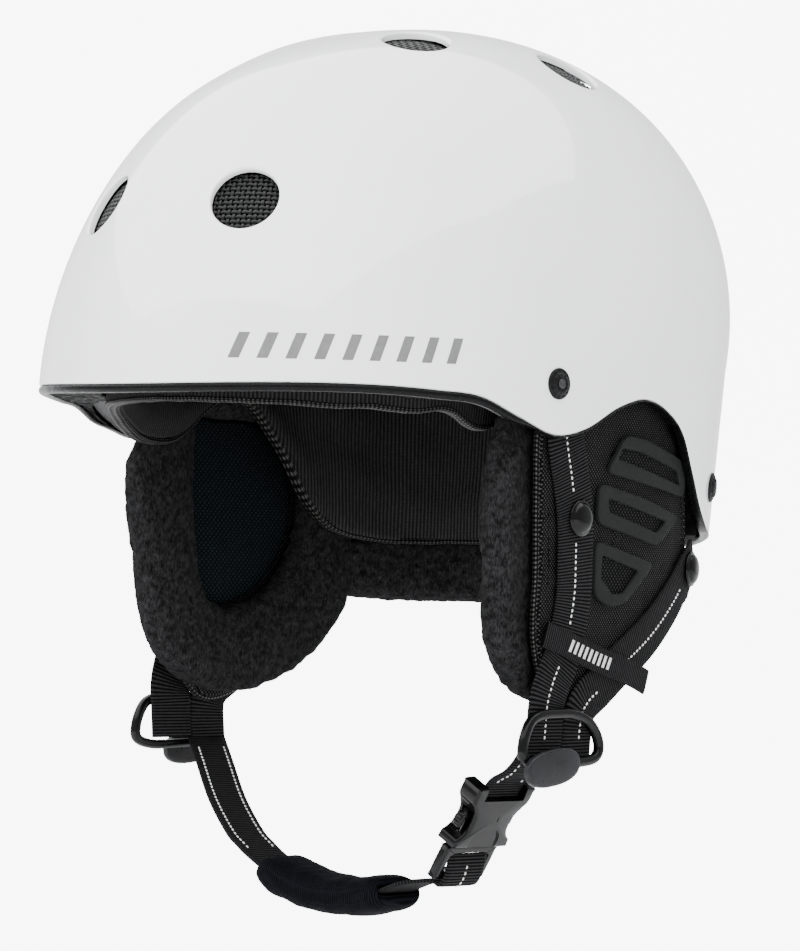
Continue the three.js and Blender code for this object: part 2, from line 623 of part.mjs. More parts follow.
function chinPad() {
  const rings = [];
  const steps = [[0, 0.72], [0.05, 0.9], [0.14, 1], [0.38, 1], [0.62, 1], [0.86, 1], [0.95, 0.9], [1, 0.72]];
  for (const [f, k] of steps) {
    const ring = [];
    for (let j = 0; j < 14; j++) {
      const a = (2 * Math.PI * j) / 14;
      const c = Math.sign(Math.cos(a)) * Math.abs(Math.cos(a)) ** 0.6;
      const s = Math.sign(Math.sin(a)) * Math.abs(Math.sin(a)) ** 0.8;
      const deg = mix(CHIN_PAD.from, CHIN_PAD.to, f);
      ring.push(onChin(deg, CHIN_RADIUS + 0.5 + (CHIN_PAD.thick / 2) * s * k, (CHIN_PAD.width / 2) * c * mix(k, 1, 0.5)));
    }
    rings.push(ring);
  }
  const slot = [];
  for (let i = 0; i <= 10; i++) {
    const deg = mix(CHIN_PAD.from - 2, CHIN_PAD.to + 2, i / 10);
    const at = (y, r) => onChin(deg, CHIN_RADIUS + r, y);
    slot.push([at(-10.6, -1.3), at(10.6, -1.3), at(10.6, 1.3), at(-10.6, 1.3)]);
  }
  return cut(loft(rings), [loft(slot)]);
}
add('chin_pad', chinPad(), 'plush');

helmet.position.set(0, 0, -CROWN_Z);
helmet.updateMatrixWorld(true);

export default helmet;
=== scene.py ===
import math

import bmesh
import bpy
import numpy as np
from mathutils import Matrix, Vector


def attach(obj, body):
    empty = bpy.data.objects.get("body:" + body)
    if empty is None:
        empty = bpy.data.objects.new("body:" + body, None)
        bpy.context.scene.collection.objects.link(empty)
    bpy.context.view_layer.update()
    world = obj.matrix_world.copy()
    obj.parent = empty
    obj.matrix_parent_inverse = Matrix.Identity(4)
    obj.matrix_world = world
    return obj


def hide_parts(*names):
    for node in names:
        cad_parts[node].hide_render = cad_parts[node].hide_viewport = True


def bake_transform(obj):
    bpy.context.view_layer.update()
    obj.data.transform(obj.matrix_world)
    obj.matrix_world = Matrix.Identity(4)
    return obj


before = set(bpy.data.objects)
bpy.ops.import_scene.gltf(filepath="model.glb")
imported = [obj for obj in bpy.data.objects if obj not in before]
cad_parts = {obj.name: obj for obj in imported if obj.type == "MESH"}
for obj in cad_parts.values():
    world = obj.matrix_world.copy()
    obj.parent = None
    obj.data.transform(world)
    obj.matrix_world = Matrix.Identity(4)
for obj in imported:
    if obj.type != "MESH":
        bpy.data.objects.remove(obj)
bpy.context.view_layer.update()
RNG = np.random.default_rng(7)

# Lengths below are millimetres in a working frame whose z = 0 is the front lip of the shell.
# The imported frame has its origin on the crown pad, LIP above it.
LIP = 86.0


def to_row(p):
    p = np.asarray(p, float).reshape(-1, 3).copy()
    p[:, 2] -= LIP
    return p / 1000.0


def unit(v):
    return v / np.linalg.norm(v, axis=-1, keepdims=True)


def turns(n):
    """n equal angles round a full turn."""
    return np.linspace(0, 2 * math.pi, n, endpoint=False)


def bent(v, k):
    """Signed power; k under 1 squares off a round section."""
    return np.sign(v) * np.abs(v) ** k


def arc_length(p):
    return np.concatenate([[0], np.cumsum(np.linalg.norm(np.diff(p, axis=0), axis=1))])


def polar(r, phi, z):
    """Point at a distance from the upright axis; phi is 0 at the front and grows to the wearer's left."""
    return np.stack([r * np.sin(phi), -r * np.cos(phi), z], -1)


def read(items, name, width=1, kind=np.float32):
    values = np.zeros(len(items) * width, kind)
    items.foreach_get(name, values)
    return values.reshape(-1, width) if width > 1 else values


def add_object(name, data):
    ob = bpy.data.objects.new(name, data)
    bpy.context.scene.collection.objects.link(ob)
    return ob


# ---------------------------------------------------------------- shell form
TILT = math.radians(25)
WALL_TOP = 15.0
DOME_Z = 7.1
DOME = np.array([0, 0, DOME_Z])
EDGE_ROUND = 1.1
SHELL_WALL = 2.6
VENT_RADIUS = 13.0


def reach(d):
    """Distance from the dome's centre to the outer form along a direction."""
    c, s = math.cos(TILT), math.sin(TILT)
    y = d[..., 1] * c + d[..., 2] * s
    z = -d[..., 1] * s + d[..., 2] * c
    w = 0.5 + 0.5 * np.tanh(y / 0.35)
    p = 1.93 + 0.88 * w
    q = 1.79 + 0.24 * w
    b = np.where(y < 0, 129.6, 154.4)
    h = np.where(z > 0, 121.8, 117.6)
    plan = np.abs(d[..., 0] / 104.5) ** p + np.abs(y / b) ** p
    return (plan ** (q / p) + np.abs(z / h) ** q) ** (-1 / q)


def plan_reach(phi, z):
    phi, z = np.broadcast_arrays(np.asarray(phi, float), np.asarray(z, float))
    lo, hi = np.zeros(phi.shape), np.full(phi.shape, 260.0)
    for _ in range(26):
        m = (lo + hi) / 2
        v = polar(m, phi, z - DOME_Z)
        r = np.linalg.norm(v, axis=-1)
        inside = r < reach(v / r[..., None])
        lo, hi = np.where(inside, m, lo), np.where(inside, hi, m)
    return lo


def fold(phi):
    """Degrees from the front, the same on both sides."""
    a = np.degrees(np.abs(phi)) % 360
    return np.where(a > 180, 360 - a, a)


def ease(a, lo, hi):
    t = np.clip((a - lo) / (hi - lo), 0, 1)
    return t * t * (3 - 2 * t)


def wall_reach(phi, z):
    """Distance of the wall from the upright axis; behind the ears it drops nearly straight."""
    w = ease(fold(phi), 70, 125)
    upright = plan_reach(phi, WALL_TOP) - 0.085 * (WALL_TOP - z)
    return plan_reach(phi, z) * (1 - w) + upright * w


def edge_at(table, phi):
    """Smooth value from a table of (degrees from the front, value)."""
    a = fold(phi)
    xs = np.array([r[0] for r in table], float)
    ys = np.array([r[1] for r in table], float)
    k = np.clip(np.searchsorted(xs, a, side="right") - 1, 0, len(xs) - 2)
    t = np.clip((a - xs[k]) / (xs[k + 1] - xs[k]), 0, 1)
    m = np.gradient(ys, xs)
    h = xs[k + 1] - xs[k]
    t2, t3 = t * t, t * t * t
    return (
        (2 * t3 - 3 * t2 + 1) * ys[k]
        + (t3 - 2 * t2 + t) * h * m[k]
        + (3 * t2 - 2 * t3) * ys[k + 1]
        + (t3 - t2) * h * m[k + 1]
    )


def skin(phi, t, edge):
    """Point of the outer surface: t runs 0 to 1 down the dome, then 1 to 2 down the wall to the edge."""
    phi, t = np.broadcast_arrays(np.asarray(phi, float), np.asarray(t, float))
    top = np.arctan2(plan_reach(phi, WALL_TOP), WALL_TOP - DOME_Z)
    a = np.minimum(t, 1) * top
    d = polar(np.sin(a), phi, np.cos(a))
    up = d * reach(d)[..., None] + DOME
    z = WALL_TOP + (edge - WALL_TOP) * np.maximum(t - 1, 0)
    return np.where((t <= 1)[..., None], up, polar(wall_reach(phi, z), phi, z))


def excess(p):
    """How far a point lies outside the outer surface."""
    v = p - DOME
    r = np.linalg.norm(v, axis=-1)
    phi = np.arctan2(p[..., 0], -p[..., 1])
    up = r - reach(v / r[..., None])
    low = np.hypot(p[..., 0], p[..., 1]) - wall_reach(phi, np.minimum(p[..., 2], WALL_TOP))
    return np.where(p[..., 2] >= WALL_TOP, up, low)


def outward(p, h):
    g = [excess(p + e) - excess(p - e) for e in np.eye(3) * h]
    return unit(np.stack(g, -1))


def layer(phi, t, inset, edge):
    """Point of the surface a distance inset inside the outer one."""
    p = skin(phi, t, edge)
    n = outward(p, 4.0)
    flat = n.copy()
    flat[..., 2] *= 0.3
    flat = unit(flat)
    low = np.clip((np.broadcast_to(t, n.shape[:-1]) - 0.9) / 0.2, 0, 1)[..., None]
    n = n * (1 - low) + flat * low
    return p - n * np.broadcast_to(inset, n.shape[:-1])[..., None]


SHELL_EDGE = [
    (0, 0), (56, 0), (65, -1.5), (74, -8), (84, -13.5), (93, -11), (104, -2), (112, 1),
    (119, -2.5), (125, -10), (130, -23), (135, -35), (140, -42), (148, -45.5), (160, -46.5), (180, -46.5),
]


# ---------------------------------------------------------------- mesh helpers
def build(name, verts, faces, mat=None, uv=None, smooth=True):
    """verts in working millimetres; uv per vertex in millimetres; mat is a key of M."""
    me = bpy.data.meshes.new(name)
    me.from_pydata(to_row(verts).tolist(), [], [tuple(int(i) for i in f) for f in faces])
    me.update()
    if uv is not None:
        lay = me.uv_layers.new(name="UVMap")
        corners = read(me.loops, "vertex_index", 1, np.int32)
        lay.data.foreach_set("uv", np.asarray(uv, np.float32)[corners].ravel() / 10.0)
    if mat:
        me.materials.append(M[mat])
    if smooth:
        me.polygons.foreach_set("use_smooth", [True] * len(me.polygons))
    return add_object(name, me)


def grid_faces(n, m, wrap_n=False, wrap_m=False):
    i = np.arange(n if wrap_n else n - 1)
    j = np.arange(m if wrap_m else m - 1)
    i, j = np.meshgrid(i, j, indexing="ij")
    a, b = i * m + j, ((i + 1) % n) * m + j
    c, d = ((i + 1) % n) * m + (j + 1) % m, i * m + (j + 1) % m
    return [tuple(f) for f in np.stack([a, b, c, d], -1).reshape(-1, 4)]


def loft(rings, closed=False):
    """Closed solid from rings (n, m, 3); open ends are capped."""
    rings = np.asarray(rings, float)
    n, m, _ = rings.shape
    faces = grid_faces(n, m, wrap_n=closed, wrap_m=True)
    if not closed:
        faces.append(tuple(range(m)))
        faces.append(tuple(range((n - 1) * m, n * m))[::-1])
    return rings.reshape(-1, 3), faces


def with_poles(rows, first, last):
    """Vertices and faces of closed rows (n, m, 3), fanned to a point at each end."""
    rows = np.asarray(rows)
    n, m, _ = rows.shape
    faces = grid_faces(n, m, wrap_m=True)
    a, b, base = n * m, n * m + 1, (n - 1) * m
    faces += [(a, j, (j + 1) % m) for j in range(m)]
    faces += [(b, base + (j + 1) % m, base + j) for j in range(m)]
    return np.vstack([rows.reshape(-1, 3), first, last]), faces


def joined(parts):
    """One set of vertices and faces from several."""
    verts, faces, base = [], [], 0
    for v, f in parts:
        verts.append(v)
        faces += [tuple(i + base for i in g) for g in f]
        base += len(v)
    return np.vstack(verts), faces


def fixed_normals(ob):
    bm = bmesh.new()
    bm.from_mesh(ob.data)
    bmesh.ops.recalc_face_normals(bm, faces=bm.faces)
    bm.to_mesh(ob.data)
    bm.free()
    return ob


def solid(name, shape, mat=None, spot=None):
    """Closed piece from vertices, faces and perhaps uv; spot is where its local frame sits."""
    verts, faces, *uv = shape
    if spot is not None:
        verts = placed(verts, *spot)
    return fixed_normals(build(name, verts, faces, mat, uv[0] if uv else None))


def assign(ob, body, node=None):
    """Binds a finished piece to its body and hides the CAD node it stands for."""
    if node:
        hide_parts(node)
    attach(ob, body)


def evaluated(ob):
    dg = bpy.context.evaluated_depsgraph_get()
    me = bpy.data.meshes.new_from_object(ob.evaluated_get(dg))
    old = ob.data
    ob.modifiers.clear()
    ob.data = me
    bpy.data.meshes.remove(old)
    mats = [m for m in me.materials if m]
    me.materials.clear()
    for m in mats[:1]:
        me.materials.append(m)
    me.polygons.foreach_set("material_index", [0] * len(me.polygons))
    me.polygons.foreach_set("use_smooth", [True] * len(me.polygons))
    return ob


def modified(ob, kind, **values):
    md = ob.modifiers.new(kind.title(), kind)
    for k, v in values.items():
        setattr(md, k, v)
    return evaluated(ob)


def boolean(ob, tools, operation="DIFFERENCE"):
    for tool in tools:
        md = ob.modifiers.new("cut", "BOOLEAN")
        md.operation = operation
        md.solver = "MANIFOLD"
        md.object = tool
    evaluated(ob)
    for tool in tools:
        bpy.data.objects.remove(tool)
    return ob


def catmull(points, n, closed=False):
    """n points along a smooth curve through the given points."""
    p = np.asarray(points, float)
    k = len(p)
    seg = k if closed else k - 1
    u = np.linspace(0, seg, n, endpoint=not closed)
    i = np.clip(np.floor(u).astype(int), 0, seg - 1)
    f = (u - i)[:, None]
    take = (lambda a: p[a % k]) if closed else (lambda a: p[np.clip(a, 0, k - 1)])
    a, b, c, d = take(i - 1), take(i), take(i + 1), take(i + 2)
    return 0.5 * (
        2 * b + (c - a) * f + (2 * a - 5 * b + 4 * c - d) * f**2 + (3 * b - a - 3 * c + d) * f**3
    )


def even(points, step, closed=False):
    """Resamples a smooth curve at equal steps of about the given length."""
    fine = catmull(points, 60 * len(points), closed)
    if closed:
        fine = np.vstack([fine, fine[:1]])
    s = arc_length(fine)
    n = max(int(round(s[-1] / step)), 2)
    q = np.linspace(0, s[-1], n + 1)[: n if closed else n + 1]
    return np.stack([np.interp(q, s, fine[:, c]) for c in range(fine.shape[1])], -1)


def mirror(ob, name):
    me = ob.data.copy()
    co = read(me.vertices, "co", 3)
    co[:, 0] *= -1
    me.vertices.foreach_set("co", co.ravel())
    me.flip_normals()
    me.update()
    return add_object(name, me)


PUFF_FRAMES = 20


def puffed(ob, voxel, pressure, cap, allow):
    """Inflates a padded piece with a short cloth run and caps how far it moves."""
    if voxel:
        ob = modified(ob, "REMESH", mode="VOXEL", voxel_size=voxel / 1000)
    rest = read(ob.data.vertices, "co", 3)
    md = ob.modifiers.new("Cloth", "CLOTH")
    st = md.settings
    st.quality = 4
    st.use_pressure = True
    st.uniform_pressure_force = pressure
    st.tension_stiffness = 20
    st.compression_stiffness = 20
    st.bending_stiffness = 0.4
    st.effector_weights.gravity = 0
    md.collision_settings.use_collision = False
    md.point_cache.frame_start = 1
    md.point_cache.frame_end = PUFF_FRAMES
    scene = bpy.context.scene
    for f in range(1, PUFF_FRAMES + 1):
        scene.frame_set(f)
    dg = bpy.context.evaluated_depsgraph_get()
    got = read(ob.evaluated_get(dg).data.vertices, "co", 3)
    ob.modifiers.clear()
    scene.frame_set(1)
    move = got - rest
    size = np.linalg.norm(move, axis=1, keepdims=True)
    move *= np.minimum(1, cap / 1000 / np.maximum(size, 1e-9))
    move *= allow(rest * 1000 + np.array([0, 0, LIP]))[:, None]
    ob.data.vertices.foreach_set("co", (rest + move).astype(np.float32).ravel())
    ob.data.update()
    return ob


def points_of(ob):
    return read(ob.data.vertices, "co", 3).astype(float) * 1000 + np.array([0, 0, LIP])


def lumps(p, size, seed):
    """Smooth repeatable noise in -1..1, one value per point."""
    r = np.random.default_rng(seed)
    total = np.zeros(len(p))
    for _ in range(9):
        k = r.normal(size=3)
        k *= (2 * math.pi / size) * r.uniform(0.7, 1.5) / np.linalg.norm(k)
        total += np.sin(p @ k + r.uniform(0, 6.28))
    return total / 4.0


# ---------------------------------------------------------------- materials
class Finish:
    """A node material built step by step round one Principled shader."""

    def __init__(self, name, color, rough, **inputs):
        self.mat = bpy.data.materials.new(name)
        self.mat.use_nodes = True
        self.nt = self.mat.node_tree
        self.bsdf = self.nt.nodes["Principled BSDF"]
        self.bsdf.inputs["Base Color"].default_value = (*color, 1)
        self.bsdf.inputs["Roughness"].default_value = rough
        for k, v in inputs.items():
            socket = self.bsdf.inputs[k.replace("_", " ")]
            socket.default_value = (*v, 1) if isinstance(v, tuple) and len(v) == 3 else v
        self.height = None

    def node(self, kind, **values):
        n = self.nt.nodes.new(kind)
        for k, v in values.items():
            if k.startswith("in_"):
                n.inputs[k[3:].replace("_", " ")].default_value = v
            else:
                setattr(n, k, v)
        return n

    def link(self, a, b):
        self.nt.links.new(a, b)

    def coords(self, kind="Object", scale=(1, 1, 1), turn=(0, 0, 0)):
        tc = self.node("ShaderNodeTexCoord")
        mp = self.node("ShaderNodeMapping")
        mp.inputs["Scale"].default_value = scale
        mp.inputs["Rotation"].default_value = turn
        self.link(tc.outputs[kind], mp.inputs["Vector"])
        return mp.outputs["Vector"]

    def noise(self, size_mm, detail=3.0, rough=0.55, kind="Object", stretch=(1, 1, 1)):
        k = 1000.0 / size_mm if kind == "Object" else 10.0 / size_mm
        n = self.node("ShaderNodeTexNoise", in_Scale=1.0, in_Detail=detail, in_Roughness=rough)
        self.link(self.coords(kind, tuple(k * s for s in stretch)), n.inputs["Vector"])
        return n.outputs["Fac"]

    def wave(self, pitch_mm, axis="X", kind="UV", turn=0.0):
        k = 1000.0 / pitch_mm if kind == "Object" else 10.0 / pitch_mm
        w = self.node("ShaderNodeTexWave", bands_direction=axis)
        w.inputs["Scale"].default_value = 0.3142  # one band per unit
        w.inputs["Distortion"].default_value = 0.0
        self.link(self.coords(kind, (k, k, k), (0, 0, turn)), w.inputs["Vector"])
        return w.outputs["Fac"]

    def math(self, op, a, b):
        n = self.node("ShaderNodeMath", operation=op)
        for i, v in enumerate((a, b)):
            if isinstance(v, (int, float)):
                n.inputs[i].default_value = v
            else:
                self.link(v, n.inputs[i])
        return n.outputs[0]

    def scaled(self, fac, k, start):
        """start + k * fac"""
        return self.math("ADD", self.math("MULTIPLY", fac, k), start)

    def ramp(self, fac, stops):
        r = self.node("ShaderNodeValToRGB")
        el = r.color_ramp.elements
        while len(el) < len(stops):
            el.new(0.5)
        for e, (pos, col) in zip(el, stops):
            e.position = pos
            e.color = (*col, 1) if isinstance(col, tuple) else (col, col, col, 1)
        self.link(fac, r.inputs["Fac"])
        return r.outputs["Color"]

    def paint(self, fac, dark, light, lo=0.3, hi=0.7):
        self.link(self.ramp(fac, [(lo, dark), (hi, light)]), self.bsdf.inputs["Base Color"])

    def gloss(self, fac, low, high, lo=0.3, hi=0.7):
        self.link(self.ramp(fac, [(lo, low), (hi, high)]), self.bsdf.inputs["Roughness"])

    def bump(self, fac, depth_mm, strength=1.0):
        b = self.node("ShaderNodeBump")
        b.inputs["Strength"].default_value = strength
        b.inputs["Distance"].default_value = depth_mm / 1000.0
        self.link(fac, b.inputs["Height"])
        if self.height is not None:
            self.link(self.height, b.inputs["Normal"])
        self.height = b.outputs["Normal"]
        self.link(self.height, self.bsdf.inputs["Normal"])


def grey(v):
    return (v, v, v)


def shell_finish():
    coat = {"Coat_Weight": 1.0, "Coat_Roughness": 0.03, "Coat_IOR": 1.65}
    f = Finish("white_gloss_shell", (0.86, 0.87, 0.88), 0.2, **coat)
    f.paint(f.noise(45, 2), (0.855, 0.865, 0.872), (0.875, 0.882, 0.888))
    f.gloss(f.noise(3.5, 6), 0.13, 0.22, 0.35, 0.75)
    f.bump(f.noise(14, 1.5), 0.02, 0.35)
    return f.mat


def satin_black(name, base=0.003, rough=0.3, grain=0.7, depth=0.03, spec=0.12):
    f = Finish(name, (base, base, base * 1.15), rough, Specular_IOR_Level=spec)
    f.paint(f.noise(9, 4), grey(base * 0.75), (base * 1.4, base * 1.45, base * 1.65))
    f.gloss(f.noise(2.2, 5), rough * 0.8, min(rough * 1.6, 1), 0.35, 0.75)
    f.bump(f.noise(grain, 3), depth, 0.8)
    return f.mat


def woven(name, dark, light, pitch=0.9, turn=0.0, depth=0.12, rough=0.75, kind="UV"):
    """Plain weave: small pale crossings on a black ground. On the binding tape the pale crossings are painted
    highlights on black tape.
    """
    f = Finish(name, light, rough, Specular_IOR_Level=0.05)
    a = f.wave(pitch, "X", kind, turn)
    b = f.wave(pitch, "Y", kind, turn)
    dots = f.math("MULTIPLY", a, b)
    uneven = f.scaled(f.noise(1.3, 5), 1.1, 0.42)
    f.paint(f.math("MULTIPLY", dots, uneven), dark, light, 0.22, 0.72)
    f.gloss(dots, min(rough * 1.2, 1), rough * 0.8, 0.2, 0.85)
    f.bump(dots, depth, 0.9)
    f.bump(f.noise(0.6, 4), depth * 0.3, 0.6)
    return f.mat


def webbing_finish(name, dark, light, pitch=1.15):
    """Ribbed webbing: strong lines across the band, faint cords along it. The ribs and cords are real; their
    pale tops in the colour are painted highlights.
    """
    f = Finish(name, light, 0.8, Specular_IOR_Level=0.05)
    rib = f.wave(pitch, "Y", "UV")
    cord = f.wave(pitch * 0.55, "X", "UV")
    mix = f.math("MULTIPLY", rib, f.scaled(cord, 0.35, 0.62))
    uneven = f.scaled(f.noise(1.6, 5), 0.9, 0.5)
    # colour: black webbing with pale rib tops; the pale tops are painted highlights
    f.paint(f.math("MULTIPLY", mix, uneven), dark, light, 0.15, 0.75)
    f.gloss(rib, 0.9, 0.65, 0.2, 0.85)
    f.bump(rib, 0.16, 0.9)
    f.bump(cord, 0.05, 0.8)
    return f.mat


def ribbed_knit(name, dark, light, pitch=1.5, kind="UV"):
    f = Finish(name, light, 0.85, Specular_IOR_Level=0.04)
    rib = f.wave(pitch, "X", kind)
    cross = f.wave(pitch * 0.62, "Y", kind)
    fuzz = f.noise(0.9, 5)
    mix = f.scaled(rib, 0.6, f.math("MULTIPLY", cross, 0.25))
    mix = f.math("MULTIPLY", mix, f.math("ADD", fuzz, 0.45))
    f.paint(mix, dark, light, 0.15, 0.8)
    f.bump(rib, 0.22, 0.9)
    f.bump(cross, 0.08, 0.8)
    f.bump(fuzz, 0.06, 0.7)
    return f.mat


def plush_finish(name, dark, light):
    f = Finish(name, light, 0.95, Specular_IOR_Level=0.03)
    tuft = f.noise(2.6, 5, 0.6)
    strands_and_sheen = f.noise(0.6, 5, 0.65, "Object", (1.3, 1.0, 0.35))
    mix = f.scaled(tuft, 0.4, f.math("MULTIPLY", strands_and_sheen, 0.6))
    # colour: random tone of the pile plus light flecks along the tuft and strand noise, which are painted
    # sheen
    f.paint(mix, dark, light, 0.42, 0.68)
    f.gloss(strands_and_sheen, 0.75, 1.0)
    f.bump(tuft, 0.9, 1.0)
    f.bump(strands_and_sheen, 0.4, 1.0)
    return f.mat


def rubber_finish():
    f = Finish("grey_rubber_rib", (0.012, 0.0125, 0.012), 0.75, Specular_IOR_Level=0.06)
    f.paint(f.noise(6, 4), (0.0105, 0.0115, 0.011), (0.0125, 0.0135, 0.013))
    f.gloss(f.noise(1.4, 5), 0.65, 0.85)
    f.bump(f.noise(0.45, 3), 0.025, 0.8)
    return f.mat


def foam_finish():
    f = Finish("foam_beads", (0.004, 0.004, 0.0044), 0.8, Specular_IOR_Level=0.06)
    v = f.node("ShaderNodeTexVoronoi", feature="SMOOTH_F1")
    v.inputs["Scale"].default_value = 1.0
    f.link(f.coords("Object", (330, 330, 330)), v.inputs["Vector"])
    f.paint(v.outputs["Distance"], (0.005, 0.005, 0.0055), (0.0012, 0.0012, 0.0012), 0.2, 0.75)
    f.bump(v.outputs["Distance"], -0.25, 0.8)
    return f.mat


def thread_finish():
    f = Finish("white_thread", (0.72, 0.72, 0.70), 0.6, Sheen_Weight=0.3)
    f.paint(f.noise(0.7, 3), (0.55, 0.55, 0.54), (0.80, 0.80, 0.78))
    f.bump(f.noise(0.35, 3), 0.05, 0.8)
    return f.mat


def print_finish(name, v):
    f = Finish(name, grey(v), 0.35)
    f.paint(f.noise(1.6, 4), grey(v * 0.88), grey(v * 1.1))
    f.gloss(f.noise(0.8, 4), 0.28, 0.5)
    f.bump(f.noise(0.5, 2), 0.01, 0.5)
    return f.mat


EIGHTH = 0.785  # turn of a weave that lies on the bias
M = {
    "shell": shell_finish(),
    "trim": satin_black("black_edge_bead", 0.0018, 0.26, 1.2, 0.02, 0.12),
    "glue": satin_black("black_glued_cloth", 0.0022, 0.6, 2.4, 0.45, 0.06),
    "knit": ribbed_knit("black_ribbed_knit", grey(0.005), (0.036, 0.036, 0.037), 1.5),
    "padknit": ribbed_knit("black_pad_knit", grey(0.003), (0.024, 0.024, 0.025), 1.5, "Object"),
    # binding tape: black weave whose pale crossings are painted highlights standing in for the tape's shine
    "bind": woven("black_binding_tape_painted_highlights", grey(0.002), (0.060, 0.059, 0.056), 1.6, 0, 0.12, 0.45),
    # plush: the light colour stands in for the pile's sheen, painted as light flecks on black pile
    "plush": plush_finish("black_plush_painted_sheen", (0.0035, 0.0035, 0.0037), (0.029, 0.029, 0.030)),
    "flock": woven("dark_ear_net", (0.0020, 0.0032, 0.0036), (0.0105, 0.0155, 0.0170), 1.5, EIGHTH, 0.2, 0.8),
    "vent": satin_black("black_vent_weave", 0.0022, 0.28, 0.6, 0.02, 0.3),
    "rivet": satin_black("black_rivet", 0.0025, 0.42, 0.5, 0.08, 0.16),
    "darkthread": woven("black_thread", grey(0.001), (0.009, 0.009, 0.010), 0.5, 0, 0.04, 0.6, "Object"),
    "pin": satin_black("rivet_core", 0.02, 0.3, 0.6, 0.02, 0.4),
    "nylon": woven("black_nylon_weave", grey(0.0012), (0.036, 0.036, 0.037), 1.1, EIGHTH, 0.14, 0.7),
    "rib": rubber_finish(),
    "ribnet": woven("rib_net", grey(0.0004), (0.020, 0.021, 0.021), 1.4, EIGHTH, 0.35, 0.6),
    # webbing: its pale rib stripes are painted highlights on black webbing
    "web": webbing_finish("black_webbing_painted_rib_highlights", grey(0.0008), (0.0185, 0.0185, 0.0195)),
    "thread": thread_finish(),
    "gloss": satin_black("gloss_black_plastic", 0.0018, 0.17, 3.0, 0.006, 0.2),
    "snap": satin_black("black_snap_cap", 0.0012, 0.1, 3.0, 0.004, 0.2),
    "hard": satin_black("satin_black_plastic", 0.003, 0.27, 0.8, 0.02, 0.2),
    "steelblue": satin_black("blue_grey_plastic", 0.010, 0.34, 1.0, 0.01, 0.2),
    "chin": ribbed_knit("navy_black_sleeve", (6e-4, 6e-4, 9e-4), (0.0052, 0.0056, 0.0085), 0.9, "Object"),
    "foam": foam_finish(),
    "soft": satin_black("soft_black_rubber", 0.004, 0.5, 0.5, 0.03, 0.12),
    "decal": print_finish("grey_print", 0.13),
    "label": print_finish("pale_print", 0.55),
}


# ---------------------------------------------------------------- shell
def seat(target):
    """Nearest spot of the outer surface, as an origin and a basis whose z points out."""
    at = np.array(target, float)
    if at[2] < WALL_TOP:
        phi = math.atan2(at[0], -at[1])
        at = polar(float(wall_reach(phi, at[2])), phi, at[2])
    else:
        d = unit(at - DOME)
        at = d * reach(d) + DOME
    n = outward(at[None], 3.0)[0]
    x = unit(np.cross([0, 0, 1.0], n))
    return at, np.stack([x, np.cross(n, x), n], 1)


def placed(local, at, basis):
    return np.asarray(local, float) @ basis.T + at


def lathe(profile, n=48):
    """Closed solid of revolution about local z; the profile starts and ends on the axis."""
    a = turns(n)
    rows = [np.stack([r * np.cos(a), r * np.sin(a), np.full(n, z)], 1) for r, z in profile[1:-1]]
    return with_poles(rows, (0, 0, profile[0][1]), (0, 0, profile[-1][1]))


VENTS = [
    (33, -97, 65), (-33, -97, 65), (31, -7, 128), (-31, -7, 128), (58, 46, 121), (-58, 46, 121),
    (34, 88, 118), (-34, 88, 118), (27, 134, 62), (-27, 134, 62), (0, 125, 88),
]
VENT_SEATS = [seat(v) for v in VENTS]
RIVET_HEAD = [
    (0, -0.6), (5.3, -0.6), (5.5, 0.2), (5.35, 0.6), (4.7, 0.9), (4.2, 0.8), (3.9, 1.15), (3.0, 1.75),
    (2.6, 1.85), (2.4, 1.6), (1.9, 1.55), (0, 1.5),
]
RIVET_CORE = [(0, 1.2), (1.7, 1.2), (1.75, 1.75), (1.3, 2.05), (0.6, 1.8), (0, 1.7)]


def sag(at, basis, r):
    """How far the shell drops below the tangent plane at distance r from the seat."""
    drops = []
    for a in turns(8):
        lo, hi = -6.0, 1.0
        for _ in range(24):
            m = (lo + hi) / 2
            q = placed([[r * math.cos(a), r * math.sin(a), m]], at, basis)
            lo, hi = (lo, m) if excess(q)[0] > 0 else (m, hi)
        drops.append(lo)
    return float(np.mean(drops))


def make_shell():
    phi = turns(252)
    edge = edge_at(SHELL_EDGE, phi)
    up = np.linspace(0, 1, 72)[1:]
    low = np.linspace(0, 1, 18)[1:]
    r = EDGE_ROUND
    walls = [WALL_TOP + (edge + r - WALL_TOP) * s for s in low]
    rows = [skin(phi, t, edge) for t in up] + [skin(phi, 2.0, z) for z in walls]
    for a in np.radians([22, 45, 67, 90]):
        rows.append(layer(phi, 2.0, r * (1 - math.cos(a)), edge + r - r * math.sin(a)))
    rows.append(layer(phi, 2.0, 2.2, edge))
    rows.append(layer(phi, 2.0, SHELL_WALL, edge + 0.4))
    rows += [layer(phi, 2.0, SHELL_WALL, z) for z in walls[::-1]]
    rows += [layer(phi, t, SHELL_WALL, edge) for t in up[::-1]]
    poles = skin(0.0, 0.0, 0.0), layer(np.zeros(1), 0.0, SHELL_WALL, 0.0)[0]
    shell = build("shell_coat", *with_poles(rows, *poles), "shell")
    tools = []
    for i, spot in enumerate(VENT_SEATS):
        s = sag(*spot, VENT_RADIUS)
        rim = [(VENT_RADIUS - math.cos(a), s - 1 + math.sin(a)) for a in np.radians([0, 20, 40, 60, 78])]
        prof = [(0, -9), (12, -9)] + rim + [(13.3, s + 0.25), (13.6, 6), (0, 6)]
        tools.append(solid(f"cut{i}", lathe(prof, 72), None, spot))
    me = boolean(shell, tools).data
    # faces that lie on the smooth outer form take its exact normals
    me.set_sharp_from_angle(angle=math.radians(35))
    p = points_of(shell)
    on = np.abs(excess(p)) < 0.03
    n = read(me.corner_normals, "vector", 3).astype(float)
    corner = read(me.loops, "vertex_index", 1, np.int32)
    total = read(me.polygons, "loop_total", 1, np.int32)
    face = np.repeat(np.arange(len(total)), total)
    good = np.ones(len(total), bool)
    np.logical_and.at(good, face, on[corner])
    take = good[face]
    n[take] = outward(p, 5.0)[corner[take]]
    me.normals_split_custom_set([tuple(v) for v in n])
    assign(shell, "shell", "outer_shell")


